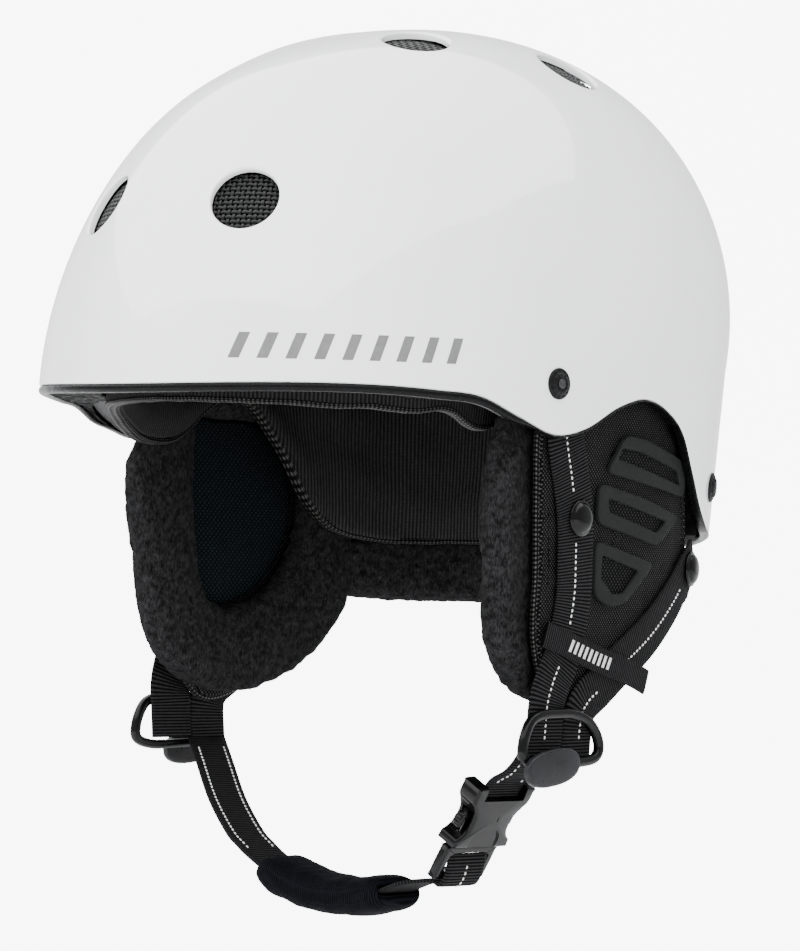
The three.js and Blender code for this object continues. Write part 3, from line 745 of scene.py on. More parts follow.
def weave_points():
    """One round patch of basket weave in a local frame, domed like the shell."""
    pitch, amp, half, thick, radius, dome = 1.9, 0.30, 0.66, 0.26, 12.8, 215
    parts = []
    for axis in (0, 1):
        for k in range(-6, 7):
            c = k * pitch
            span = math.sqrt(radius**2 - c * c)
            s = np.linspace(-span, span, int(2 * span / (pitch / 4)) + 2)
            lift = amp * np.cos(math.pi * (s / pitch + k)) * (1 - 2 * axis)
            edges = []
            for a in turns(8):
                v = np.full(len(s), c + half * math.cos(a))
                x, y = (s, v) if axis == 0 else (v, s)
                edges.append(np.stack([x, y, lift + thick * math.sin(a) - (x**2 + y**2) / dome], 1))
            parts.append(loft(np.stack(edges, 1)))
    return joined(parts)


def make_vents():
    pts, faces = weave_points()
    for i, spot in enumerate(VENT_SEATS, 1):
        turn = Matrix.Rotation(math.radians(45 if i > 2 else 0), 3, "Z")
        local = pts @ np.array(turn).T + np.array([0, 0, -3.7])
        ob = solid(f"vent_weave_{i}", (local, faces), "vent", spot)
        assign(ob, "shell", f"vent_mesh_{i}")


def make_rivets():
    head, faces = lathe(RIVET_HEAD)
    r = np.hypot(head[:, 0], head[:, 1])
    knurl = 0.16 * np.cos(np.arctan2(head[:, 1], head[:, 0]) * 12)
    head[:, 2] += np.where((r > 2.7) & (r < 4.9), knurl, 0)
    core = lathe(RIVET_CORE, 24)
    for name, (x, y, z) in (("side", (104, -12, 4.3)), ("rear", (82.5, 102.5, -28))):
        for tag, side in (("left", 1), ("right", -1)):
            spot, stem = seat((x * side, y, z)), f"rivet_{name}_{tag}"
            assign(solid(f"{stem}_head", (head, faces), "rivet", spot), "shell", stem)
            assign(solid(f"{stem}_core", core, "pin", spot), "shell", None)


def thin(phi):
    """The bead all but vanishes round the ear cut-outs."""
    a = fold(phi)
    return 1 - 0.78 * ease(a, 70, 80) * (1 - ease(a, 148, 160))


def edge_ring(section, name, mat, lo=0.0, hi=360.0, n=360, taper=None, noise=0.0):
    """section: list of (inset, height under the edge); swept along the shell's lower edge."""
    closed = hi - lo >= 360
    phi = np.radians(np.linspace(lo, hi, n, endpoint=not closed))
    edge = edge_at(SHELL_EDGE, phi)
    cols = []
    for inset, dz in section:
        width = inset if taper is None else np.minimum(inset, taper(phi))
        q = layer(phi, 2.0, width, edge)
        q[:, 2] = edge + dz * thin(phi)
        cols.append(q)
    rings = np.stack(cols, 1)
    if noise:
        flat = rings.reshape(-1, 3)
        bump = noise * lumps(flat, 7, 3) + noise * 0.8 * lumps(flat, 3.1, 4)
        flat[:, 2] += bump * (np.tile([d for _, d in section], len(rings)) < -1.0)
        rings = flat.reshape(rings.shape)
    return solid(name, loft(rings, closed), mat)


TRIM_INNER = [(0, 22), (54, 22), (64, 8), (76, 4.2), (148, 4.2), (158, 22), (180, 22)]
TRIM_SECTION = [
    (0.35, -0.25), (0.05, -0.6), (-0.1, -1.3), (0.0, -2.0), (0.35, -2.6), (1.0, -2.95), (2.2, -2.95),
    (3.0, -2.6), (3.3, -1.8), (3.3, -0.3),
]


def make_trim():
    ob = edge_ring(TRIM_SECTION, "edge_bead", "trim", n=420)
    assign(ob, "shell", "edge_trim")
    wide = lambda phi: np.maximum(edge_at(TRIM_INNER, phi), 3.6)
    section = [(3.4, -0.3)] + [(x, -2.0) for x in np.linspace(3.4, 22, 16)] + [(22, -0.3)]
    for name, lo, hi in (("front", -77, 77), ("rear", 149, 211)):
        ob = edge_ring(section, f"glued_edge_{name}", "glue", lo, hi, 240, wide, 0.22)
        assign(ob, "shell", None)


# ---------------------------------------------------------------- inner lining
LINER_OUT, LINER_IN = 24.0, 28.8
GIRTH = 95  # mean radius of the lining, which lays its ribs out in millimetres
BINDING_SECTION = [
    (23.8, 1.0), (23.6, 0.1), (24.0, -0.5), (25.4, -0.75), (27.6, -0.75), (28.9, -0.5), (29.4, 0.1),
    (29.2, 1.2),
]
LINER_EDGE = [
    (0, -4), (20, -4.5), (36, -5.5), (46, -8), (54, -11.5), (62, -15), (70, -16.3), (76, -15), (83, -10.5),
    (89, -4), (94, 0.5), (99, 2.5), (104, -1), (108, -8.5), (112, -17.5), (118, -35), (123, -43), (128, -47),
    (134, -48.8), (160, -49.4), (180, -49.4),
]


def liner_edge(phi):
    """The wearer's left side is cut a little higher beside the brow."""
    a = np.degrees(np.asarray(phi)) % 360
    lift = 10.5 * np.exp(-(((a - 66) / 10.5) ** 2)) + 3.0 * np.exp(-(((a - 50) / 8.0) ** 2))
    return edge_at(LINER_EDGE, phi) + lift


def ear_tuck(phi, z):
    a = fold(phi)
    return 3.2 * ease(a, 58, 78) * (1 - ease(a, 126, 142)) * ease(-z, -12, 4)


def liner_point(phi, t, edge, inset):
    z = WALL_TOP + (edge - WALL_TOP) * np.maximum(t - 1, 0)
    extra = np.where(t > 1, ear_tuck(phi, z), 0)
    return layer(phi, t, inset + extra, edge)


def make_liner():
    cols = 360
    phi = turns(cols)
    edge = liner_edge(phi)
    ts = np.concatenate([np.linspace(0, 1, 34)[1:], 1 + np.linspace(0, 1, 30)[1:]])
    rows = [liner_point(phi, np.full(cols, t), edge, LINER_OUT) for t in ts]
    for t in ts[::-1]:
        brow = np.exp(-((t - 1.62) / 0.34) ** 2) * (1 - ease(fold(phi), 60, 95))
        puff = 3.2 * brow + 1.2 * math.exp(-((t - 1.8) / 0.2) ** 2)
        p = liner_point(phi, np.full(cols, t), edge, LINER_IN + puff)
        rows.append(p + outward(p, 4.0) * (0.35 * lumps(p, 24, 11))[:, None])
    uv = [np.stack([phi * GIRTH, np.full(cols, t * 110.0)], 1) for t in (*ts, *ts[::-1])]
    poles = [liner_point(np.zeros(1), np.zeros(1), 0.0, v)[0] for v in (LINER_OUT, LINER_IN)]
    shape = (*with_poles(rows, *poles), np.vstack([*uv, [[0, 0]], [[0, 0]]]))
    assign(solid("knit_lining", shape, "knit"), "shell", "comfort_liner")
    # binding tape round the lower edge
    phi = turns(540)
    edge = liner_edge(phi)
    ring = []
    for inset, dz in BINDING_SECTION:
        q = liner_point(phi, np.full(len(phi), 2.0), edge, inset)
        q[:, 2] = edge + dz + 0.12 * lumps(q, 6, 21)
        ring.append(q)
    k = len(ring)
    uv = np.stack([np.repeat(phi * GIRTH, k), np.tile(np.arange(k) * 1.5, len(phi))], 1)
    tape = solid("lining_binding", (*loft(np.stack(ring, 1), True), uv), "bind")
    assign(tape, "shell", None)


def bowl_pad(lo, hi, z_top, z_low, out, inn):
    """Long pad that lies against the inside of the dome between two angles."""
    n, m, mean_radius = 60, 28, 118.0
    rings = []
    a = turns(m)
    c, s = bent(np.cos(a), 0.6), bent(np.sin(a), 0.6)
    for i in range(n + 1):
        u = 2 * i / n - 1
        k = max((1 - abs(u) ** 5) ** 0.5, 0.18)
        phi = math.radians(lo + (hi - lo) * i / n)
        z = (z_top + z_low) / 2 + (z_top - z_low) / 2 * c * (0.5 + 0.5 * k)
        inset = (out + inn) / 2 + (inn - out) / 2 * s * k
        ph = np.full(m, phi)
        p = layer(ph, np.full(m, 2.0), inset, np.minimum(z, WALL_TOP))
        high = z > WALL_TOP
        if high.any():
            top = math.atan2(float(plan_reach(phi, WALL_TOP)), WALL_TOP - DOME_Z)
            t = 1 - (z[high] - WALL_TOP) / mean_radius / top
            p[high] = layer(ph[high], t, inset[high], 0.0)
        rings.append(p)
    return loft(rings)


def make_inner_pads():
    brow = solid("brow_cushion", bowl_pad(-50, 50, 34, 3, 31, 35), "padknit")
    brow = puffed(brow, 3.2, 4, 5, lambda p: ease(-excess(p), 30, 33))
    brow = modified(brow, "SUBSURF", levels=1, render_levels=1)
    assign(brow, "shell", "brow_pad")

    n = 72
    phi = turns(n)
    dome = ((0.03, 30.2), (0.12, 30.2), (0.19, 30.2), (0.235, 30.2), (0.25, 32.5), (0.25, 32.5))
    rings = [layer(phi, np.full(n, t), inset, 0.0) for t, inset in dome]
    rim = rings[-1]
    for k, dz in ((1.0, 3.0), (0.985, 1.2), (0.94, 0.3), (0.8, 0.0), (0.5, 0.0), (0.15, 0.0)):
        q = rim * k
        q[:, 2] = LIP + 0.2 + dz
        rings.append(q)
    crown = solid("crown_cushion", loft(rings), "padknit")
    crown = modified(crown, "SUBSURF", levels=1, render_levels=1)
    assign(crown, "shell", "crown_pad")


def tufted(ob, seed, deep, fine):
    """Gives a pad the clumped surface of a short pile."""
    for i, (size, strength) in enumerate(((0.0036, deep), (0.0013, fine))):
        tex = bpy.data.textures.new(f"pile{seed}_{i}", "CLOUDS")
        tex.noise_scale = size
        tex.noise_depth = 2
        md = ob.modifiers.new("pile", "DISPLACE")
        md.texture = tex
        md.texture_coords = "LOCAL"
        md.strength = strength / 1000
        md.mid_level = 0.5
    return evaluated(ob)


def make_neck():
    n = 90
    phi = np.radians(np.linspace(131.0, 229.0, n))
    edge = edge_at(SHELL_EDGE, phi)
    k = 1 - 0.30 * np.abs(np.linspace(-1, 1, n)) ** 12
    rings = []
    for a in turns(22):
        inset = 15.5 + 8.6 * bent(math.cos(a), 0.6) * k
        s = bent(math.sin(a), 0.5)
        p = layer(phi, np.full(n, 2.0), inset, edge)
        p[:, 2] = -61.0 + 11.6 * s * k + 4.2 * ease(inset, 16, 22) * max(s, 0)
        rings.append(p)
    ob = solid("neck_cushion", loft(np.stack(rings, 1)), "plush")
    ob = puffed(ob, 3.4, 4, 3, lambda p: ease(-p[:, 2], 55, 62))
    ob = modified(ob, "SUBSURF", levels=2, render_levels=2)
    assign(tufted(ob, 3, 1.5, 0.7), "shell", "neck_roll")


# ---------------------------------------------------------------- flap surface
def half_width(y):
    lo, hi = np.full(y.shape, math.radians(2)), np.full(y.shape, math.radians(178))
    for _ in range(22):
        m = (lo + hi) / 2
        less = -wall_reach(m, -5.0) * np.cos(m) < y
        lo, hi = np.where(less, m, lo), np.where(less, hi, m)
    return wall_reach(lo, -5.0) * np.sin(lo)


FLAP_Y = np.arange(-70, 128, 1.0)
FLAP_W = half_width(FLAP_Y)


def on_flap(y, z, out):
    y, z, out = np.broadcast_arrays(*(np.asarray(v, float) for v in (y, z, out)))
    u = -15 - z
    lean = np.where(u < -6, 0, np.where(u > 6, u, (u + 6) ** 2 / 24))
    return np.stack([np.interp(y, FLAP_Y, FLAP_W) - 6.5 - 0.082 * lean + out, y, z], -1)


def flat_curve(points, n, closed=True):
    return catmull([(0, y, z) for y, z in points], n, closed)[:, 1:]


def flap_disc(outline, section, n, relief=None):
    """Closed pad on the flap surface. Section rows: fraction of the outline, trim in mm, height."""
    p = flat_curve(outline, n)
    c = p.mean(0)
    v = p - c
    rings, flat = [], []
    for f, d, h in section:
        q = c + v * f - unit(v) * d
        rings.append(on_flap(*q.T, h + (relief(q, h) if relief else 0)))
        flat.append(q)
    poles = [on_flap(*c, section[i][2]) for i in (0, -1)]
    return (*with_poles(rings, *poles), np.vstack([*flat, c, c]))


def flap_band(points, width, low, high):
    """Webbing that lies on the flap surface."""
    mid = even([(0, y, z) for y, z in points], 1.2)[:, 1:]
    t = unit(np.gradient(mid, axis=0))
    w = np.stack([-t[:, 1], t[:, 0]], 1)
    place = lambda a, h: on_flap(*(mid + w * a).T, (low + high) / 2 + h)
    return ribbon(mid, width, high - low, place), mid, w


def ribbon(mid, width, thick, place):
    """Band along mid; place gives one long line of it from a distance across and a height."""
    w, t, e = width / 2, thick / 2, min(0.45, thick / 3)
    xs = np.linspace(-1, 1, 9)
    top = [(x * (w - e), t - 0.12 * abs(x) ** 6) for x in xs]
    low = [(x * (w - e), -t + 0.12 * abs(x) ** 6) for x in xs[::-1]]
    prof = top + [(w, t * 0.35), (w, -t * 0.35)] + low + [(-w, -t * 0.35), (-w, t * 0.35)]
    prof = np.array(prof)
    uv = np.stack(np.broadcast_arrays(prof.sum(1)[None], arc_length(mid)[:, None]), -1)
    return (*loft(np.stack([place(a, h) for a, h in prof], 1)), uv.reshape(-1, 2))


def cross_band(points, width, thick, step):
    """Webbing in space whose width runs fore and aft."""
    mid = even(points, step)
    t = np.gradient(mid, axis=0)
    t[:, 1] = 0
    t = unit(t)
    n = np.stack([-t[:, 2], t[:, 1], t[:, 0]], 1)
    place = lambda a, h: mid + np.array([0, a, 0]) + n * h
    return ribbon(mid, width, thick, place), mid, n


STITCH_SECTION = ((-0.30, 0.35), (-0.06, 0.85), (0.04, 1), (0.04, 1), (-0.06, 0.85), (-0.30, 0.35))


def stitches(line, up, name, length=1.35, pitch=2.1, r=0.34, mat="thread"):
    """Short rounded thread segments along a line; up gives the surface normal per point."""
    s = arc_length(line)
    at = lambda q, a: np.stack([np.interp(q, s, a[:, c]) for c in range(3)], -1)
    a = turns(7)[:, None]
    parts = []
    for k in np.arange(pitch * 0.5, s[-1] - length, pitch):
        k += RNG.uniform(-0.15, 0.15)
        q = k + np.array([0, 0.12, 0.35, 0.65, 0.88, 1.0]) * length
        p, n = at(q, line), unit(at(q, up))
        b = np.cross(unit(np.gradient(p, axis=0)), n)
        rings = []
        for i, (sink, size) in enumerate(STITCH_SECTION):
            rings.append(p[i] + n[i] * sink + r * size * (np.cos(a) * b[i] + np.sin(a) * n[i] * 0.8))
        parts.append(loft(rings))
    return solid(name, joined(parts), mat)


def flap_stitches(q, out, name, *look):
    line = on_flap(*q.T, out)
    return stitches(line, np.tile([1.0, 0, 0], (len(line), 1)), name, *look)


def inset_loop(p, d):
    t = unit(np.roll(p, -1, 0) - np.roll(p, 1, 0))
    return p + np.stack([-t[:, 1], t[:, 0]], 1) * d


def straight(outline, step):
    p = np.asarray(outline, float)
    out = []
    for a, b in zip(p, np.roll(p, -1, 0)):
        n = max(int(np.linalg.norm(b - a) / step), 1)
        out += [a + (b - a) * i / n for i in range(n)]
    return np.array(out)


def plate(outline, thick, bevel=0.6, dome=0.0, step=0.8, low=0.0, sharp=False):
    """Closed plate with rounded edges in a local frame; dome and low round the two faces."""
    p = straight(outline, step) if sharp else even([(x, y, 0) for x, y in outline], step, True)[:, :2]
    area = np.sum(p[:, 0] * np.roll(p[:, 1], -1) - p[:, 1] * np.roll(p[:, 0], -1))
    p = p if area > 0 else p[::-1]
    t = thick / 2
    ring = lambda q, z: np.column_stack([q, np.full(len(q), z)])
    inner = inset_loop(p, bevel)
    c = p.mean(0)
    rings = [ring(c + (inner - c) * f, -t - low * (1 - f * f)) for f in (0.12, 0.4, 0.68, 0.88)]
    for a in np.radians([0, 25, 50, 75, 90]):
        rings.append(ring(inset_loop(p, bevel * (1 - math.sin(a))), -t + bevel * (1 - math.cos(a))))
    for a in np.radians([90, 75, 50, 25, 0]):
        rings.append(ring(inset_loop(p, bevel * (1 - math.sin(a))), t - bevel * (1 - math.cos(a))))
    rings += [ring(c + (inner - c) * f, t + dome * (1 - f * f)) for f in (0.88, 0.68, 0.4, 0.12)]
    return loft(rings)


def oval(w, l, power, n=28, y=0.0):
    a = turns(n)
    k = 2.0 / power
    return np.column_stack([w / 2 * bent(np.cos(a), k), y + l / 2 * bent(np.sin(a), k)])


def cut(ob, tools):
    return shade_by_angle(boolean(ob, tools))


def shade_by_angle(ob):
    ob.data.set_sharp_from_angle(angle=math.radians(32))
    return modified(ob, "WEIGHTED_NORMAL", keep_sharp=True)


def both_sides(ob, stem, node, bend=False):
    """Keeps a left-hand piece, makes its right-hand twin, hides their CAD nodes and binds both to their
    flaps; with bend set their placement is only baked in and they are not bound.
    """
    twin = mirror(ob, f"{stem}_right")
    ob.name = f"{stem}_left"
    for piece, tag, x in ((ob, "left", 0.09), (twin, "right", -0.09)):
        if node:
            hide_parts(f"{node}_{tag}")
        if bend:
            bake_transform(piece)
        else:
            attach(piece, f"{tag}_flap")


# ---------------------------------------------------------------- ear flaps
PAD_OUTLINE = [
    (20, 6), (-4, 5), (-11, -12), (-9, -36), (-6, -60), (-4, -84), (5, -102), (19, -110),
    (50, -99), (70, -87), (84.5, -71), (92, -55), (88, -36), (82, -18), (71, -1), (46, 6),
]
PLUSH_OUTLINE = [
    (20, 5), (-11, 4), (-23.5, -12), (-26.5, -36), (-24, -62), (-19, -86), (-3, -103), (26, -108.5),
    (51, -101), (69, -88.5), (79.5, -73), (82.5, -54), (81.5, -37), (75, -19), (65, -3), (44, 5),
]
NET_OUTLINE = [
    (20, -6), (8, -6), (6, -16), (5, -32), (5, -46), (6, -60), (10, -72), (20, -75),
    (34, -71), (46, -62), (54, -50), (57, -40), (57, -28), (52, -17), (44, -8), (32, -6),
]
RIBS = {
    "rib_upper": (
        [(35, -11.5), (48, -12.5), (80, -20), (81.5, -32.5), (25, -25)],
        [(33.5, -16.2), (45, -17.2), (73, -23), (76, -28.2), (31, -20)],
    ),
    "rib_middle": (
        [(21.3, -28.8), (50, -33.4), (78, -39.5), (62.5, -50.3), (22, -43)],
        [(27.3, -34), (47, -37.6), (67, -41.3), (61, -45.6), (28.5, -38.8)],
    ),
    "rib_lower": (
        [(22, -49), (61, -56.7), (43.5, -71), (34, -72.5), (23.8, -68.5)],
        [(26.5, -54), (50.5, -59.3), (41.5, -67.4), (34.5, -67.8), (26.6, -62)],
    ),
}
PLUSH_SECTION = [
    (0.02, -8.6), (0.10, -7.4), (0.3, -7.3), (0.55, -7.3), (0.8, -7.4), (0.93, -8.4), (0.99, -10.0),
    (1.0, -12.0), (0.98, -13.6), (0.93, -14.9), (0.84, -15.7), (0.7, -16.1), (0.52, -16.2), (0.36, -16.0),
    (0.2, -15.4), (0.08, -14.2), (0.01, -12.6), (0.0, -10.6),
]
RIB_SECTION = [
    (0.0, 0.3), (1.0, 0.3), (1.0, 1.5), (0.97, 1.8), (0.90, 2.0), (0.75, 2.06), (0.5, 2.1), (0.25, 2.06),
    (0.10, 2.0), (0.03, 1.8), (0.0, 1.5),
]
SNAP_PROFILE = [
    (0, 0), (6.2, 0), (6.45, 0.25), (6.5, 0.6), (6.25, 1.0), (5.7, 1.2), (5.5, 1.25), (5.25, 1.7),
    (4.6, 2.3), (3.6, 2.75), (2.4, 3.0), (1.2, 3.12), (0, 3.15),
]
FRONT_WEB = [
    (0, 2), (0, -13), (5, -28), (9, -41), (11, -55), (12, -70), (9, -88), (4.5, -98), (2, -106),
    (1.9, -114), (1.9, -125),
]
REAR_WEB = [
    (98, -54), (90, -60), (77, -71), (62, -82), (46, -91.5), (33, -100), (24.5, -105.5), (21, -112),
    (20.8, -125.6),
]
KEEPER = [(-5, -82), (10, -86), (28, -91), (46, -95), (60, -99)]


def make_ear_pads():
    fr = np.linspace(0.05, 0.97, 30)
    rim = [(1, 1.0, -0.1), (1, 0.35, -0.6), (1, 0.0, -1.6), (1, 0.0, -2.9), (1, 0.25, -4.2), (1, 1.0, -5.2)]
    rim.append((1, 2.2, -5.4))
    section = [(f, 0, 0.0) for f in fr] + rim + [(f, 2.2 * f, -5.4) for f in fr[::-1]]

    def relief(q, h):
        p = np.column_stack([q, np.zeros(len(q))])
        top = 0.30 * lumps(p, 26, 5) + 0.16 * lumps(p, 9, 6) - 0.45
        return np.minimum(top, 0.12) if h > -0.05 else 0.0

    pad = solid("nylon_pad", flap_disc(PAD_OUTLINE, section, 260, relief), "nylon")
    both_sides(pad, "nylon_pad", "ear_pad", bend=True)
    # piping round the pad
    p = flat_curve(PAD_OUTLINE, 300)
    out = unit(p - p.mean(0))
    rings = []
    for a in turns(10):
        rings.append(on_flap(*(p + out * (0.15 + 1.15 * math.cos(a))).T, -2.6 + 1.35 * math.sin(a)))
    uv = np.stack(np.broadcast_arrays(arc_length(p)[:, None], np.arange(10)[None] * 0.9), -1)
    piping = solid("pad_piping", (*loft(np.stack(rings, 1), True), uv.reshape(-1, 2)), "bind")
    both_sides(piping, "pad_piping", None, bend=True)
    thread = flap_stitches((p - out * 4.2)[20:285], -0.22, "pad_stitch", 1.3, 2.0, 0.24, "darkthread")
    both_sides(thread, "pad_stitch", None, bend=True)


def make_plush():
    a, b = flat_curve(PLUSH_OUTLINE, 150), flat_curve(NET_OUTLINE, 150)
    rings = []
    for f, h in PLUSH_SECTION:
        q = b + (a - b) * f
        ahead = np.interp(-q[:, 1], [12, 36, 60, 84, 101, 106], [-11, -9, -6, -4, 6, 26]) - q[:, 0]
        lift = 5.6 * ease(ahead, 2.0, 9.0) * ease(-q[:, 1], 13, 24) * (1 - ease(-h, 8, 15))
        rings.append(on_flap(*q.T, h + lift))
    ob = solid("plush", loft(np.stack(rings, 1), True), "plush")

    def allow(p):
        out = p[:, 0] - on_flap(p[:, 1], p[:, 2], 0.0)[:, 0]
        return 0.25 + 0.75 * ease(-out, 8.5, 13)

    ob = puffed(ob, 3.5, 4, 2.2, allow)
    ob = modified(ob, "SUBSURF", levels=2, render_levels=2)
    both_sides(tufted(ob, 1, 0.9, 0.45), "plush_lining", "ear_lining", bend=True)
    fr = np.linspace(0.06, 0.97, 20)
    section = [(f, 0, -7.7) for f in fr] + [(1, 0.2, -8.4)]
    section += [(f, 0.4 * f, -9.6 + 1.2 * f**4) for f in fr[::-1]]
    net = solid("ear_net", flap_disc(NET_OUTLINE, section, 140), "flock")
    both_sides(net, "ear_net", "ear_mesh", bend=True)


def rounded(corners, radius):
    """Polygon with round corners; the same count of points per side whatever the size."""
    p = np.asarray(corners, float)
    a = p + unit(np.roll(p, 1, 0) - p) * radius
    b = p + unit(np.roll(p, -1, 0) - p) * radius
    out = []
    for k in range(len(p)):
        for t in np.linspace(0, 1, 8):
            out.append(a[k] * (1 - t) ** 2 + p[k] * 2 * t * (1 - t) + b[k] * t * t)
        nxt = a[(k + 1) % len(p)]
        for t in np.linspace(0, 1, 13)[1:-1]:
            out.append(b[k] + (nxt - b[k]) * t)
    return np.array(out)


def make_ribs():
    for name, (outer, inner) in RIBS.items():
        a, b = rounded(outer, 4.2), rounded(inner, 1.5)
        rings = [on_flap(*(b + (a - b) * f).T, h) for f, h in RIB_SECTION]
        rib = shade_by_angle(solid(name, loft(np.stack(rings, 1), True), "rib"))
        both_sides(rib, name, name, bend=True)
        # coarse net seen inside the frame
        fr = np.linspace(0.1, 0.96, 8)
        net_section = [(f, 0, 0.75) for f in fr] + [(f, 0, 0.3) for f in fr[::-1]]
        net = solid(f"{name}_net", flap_disc(inner, net_section, 90), "ribnet")
        both_sides(net, f"{name}_net", None, bend=True)


def make_flap_straps():
    for stem, points, width in (("front_strap", FRONT_WEB, 20), ("rear_strap", REAR_WEB, 17)):
        front = stem == "front_strap"
        shape, mid, w = flap_band(points, width, 0.4, 2.0)
        both_sides(solid(stem, shape, "web"), stem, stem, bend=front)
        # a line of thread, broken where a snap or the keeper covers the strap
        q = mid + w * (-0.7 if front else 0.6)
        y, z = q.T
        keep = (z < -9) & (z > -121) & (y < 97)
        if front:
            keep &= ~((z > -49) & (z < -34.5)) & ~((z > -92) & (z < -79.5))
        else:
            keep &= ~(y > 85.5) & ~((z < -92) & (z > -101.5))
        runs = np.split(np.arange(len(q)), np.where(np.diff(keep.astype(int)) != 0)[0] + 1)
        runs = [run for run in runs if keep[run[0]] and len(run) >= 6]
        for part, run in enumerate(runs, 1):
            thread = flap_stitches(q[run], 2.02, "thread")
            both_sides(thread, f"{stem}_thread_{part}", None, bend=front)

    shape, mid, w = flap_band(KEEPER, 9, 2.4, 3.6)
    both_sides(solid("keeper", shape, "web"), "keeper_band", "keeper")
    # pale slanted bars printed on the band
    s = arc_length(mid)
    wide, tall, lean, pitch = 1.5, 4.4, 0.8, 3.0
    parts = []
    for k in range(9):
        ring = []
        for dx, dy in ((-0.5, -0.5), (0.5, -0.5), (0.5, 0.5), (-0.5, 0.5)):
            d = 16 + k * pitch + dx * wide + lean * dy
            ring.append([np.interp(d, s, mid[:, i]) + np.interp(d, s, w[:, i]) * dy * tall for i in (0, 1)])
        parts.append(loft([on_flap(*np.array(ring).T, h) for h in (3.3, 3.68)]))
    both_sides(solid("bars", joined(parts), "label"), "keeper_bars", None)


def flap_frame(y, z, out):
    a, b = on_flap(y - 4, z, out), on_flap(y + 4, z, out)
    ey = unit(b - a)
    ex = unit(np.cross(ey, [0, 0, 1.0]))
    return on_flap(y, z, out), np.stack([ey, np.cross(ex, ey), ex], 1)


def make_snaps():
    shape = lathe(SNAP_PROFILE, 64)
    for name, y, z in (("snap_front", 10.5, -41.5), ("snap_rear", 92.5, -58)):
        both_sides(solid(name, shape, "snap", flap_frame(y, z, 2.35)), name, name)


SIDE = on_flap(9.0, -116.0, 1.2)
TILTED = np.stack([[-0.03, 1, 0], [0, 0, 1], [1, 0.03, 0]], 1) / np.array([1.00045, 1, 1.00045])


def tube(path, wide, deep):
    """Closed ring of rounded-rectangle section along a flat loop; wide lies in its plane."""
    mid = even([(x, y, 0) for x, y in path], 1.0, True)
    t = unit(np.roll(mid, -1, 0) - np.roll(mid, 1, 0))
    w = np.stack([-t[:, 1], t[:, 0], np.zeros(len(t))], 1)
    a = turns(16)
    c, s = bent(np.cos(a), 0.7) * wide / 2, bent(np.sin(a), 0.7) * deep / 2
    return loft(np.stack([mid + w * i + np.array([0, 0, j]) for i, j in zip(c, s)], 1), True)


DIVIDER_RING = [
    (-21.8, -9.3), (-22.4, -4.2), (-19.9, 1.7), (-16.6, 4.6), (-11, 5.9), (-4, 6.2), (5, 6.1),
    (13.2, 4.0), (18.3, 0.2), (21.0, -4.5), (20.2, -8.4), (15, -10.4), (0, -11.4), (-14, -11.6),
]


def make_dividers():
    pts, faces = tube(DIVIDER_RING, 3.5, 3.4)
    pts[:, 2] += 2.65
    ob = solid("divider", (pts, faces), "gloss", (np.array([SIDE[0], 9, -116.0]), TILTED))
    both_sides(ob, "strap_divider", "divider")
    pts, faces = plate(oval(30, 12.8, 2.4, 36), 2.6, 0.8, 0.3, 0.8, 0.05)
    c, s = math.cos(math.radians(8)), math.sin(math.radians(8))
    pts[:, 0], pts[:, 1] = pts[:, 0] * c - pts[:, 1] * s, pts[:, 0] * s + pts[:, 1] * c
    lever = np.array([SIDE[0], -0.5, -128.4]) + TILTED[:, 2] * 5.9
    # the right lever sits further back than the left one
    for tag, mirrored, back in (("left", 1, 0), ("right", -1, 20)):
        at = placed(pts, lever + TILTED[:, 0] * back, TILTED) * np.array([mirrored, 1, 1])
        assign(solid(f"lock_lever_{tag}", (at, faces), "steelblue"), f"{tag}_lock", f"lock_{tag}")


# ---------------------------------------------------------------- buckle and chin strap
BUCKLE_AT = np.array([66, 0, -145.0])
BUCKLE_DIR = np.array([-0.515, 0, -0.857]) / math.hypot(0.515, 0.857)
BUCKLE = np.stack([[0, 1, 0], BUCKLE_DIR, np.cross([0, 1, 0], BUCKLE_DIR)], 1)
SOCKET_HALF = [
    (-14.2, -12.4), (-15, -10.4), (-14.8, -6.4), (-12.8, -3.6), (-10.9, -0.8), (-10.3, 2.6), (-10.8, 5.8),
    (-12.6, 8.2), (-14.2, 9.4), (-14.4, 11.6), (-13.4, 12.5),
]
PLUG_OUTLINE = [
    (-12.6, 13.5), (-13.5, 15.5), (-13.5, 25), (-12.4, 27.3), (0, 27.4), (12.4, 27.3), (13.5, 25),
    (13.5, 15.5), (12.6, 13.5), (0, 13.4),
]
PRONG_OUTLINE = [
    (5.4, 12.6), (10.0, 12.7), (10.3, 10), (10.9, 8), (12.6, 6.4), (14.1, 4.4), (14.3, 2.4), (13.2, 0.0),
    (11.2, -1.8), (9.3, -2.6), (7.2, -2.8), (6.2, -1.4), (5.7, 1.5), (6.4, 5.5), (5.8, 9),
]


def in_buckle(x, y, z):
    return BUCKLE_AT + BUCKLE @ np.array([x, y, z], float)


def buckle_part(name, shape, mat="gloss"):
    return solid(name, shape, mat, (BUCKLE_AT, BUCKLE))


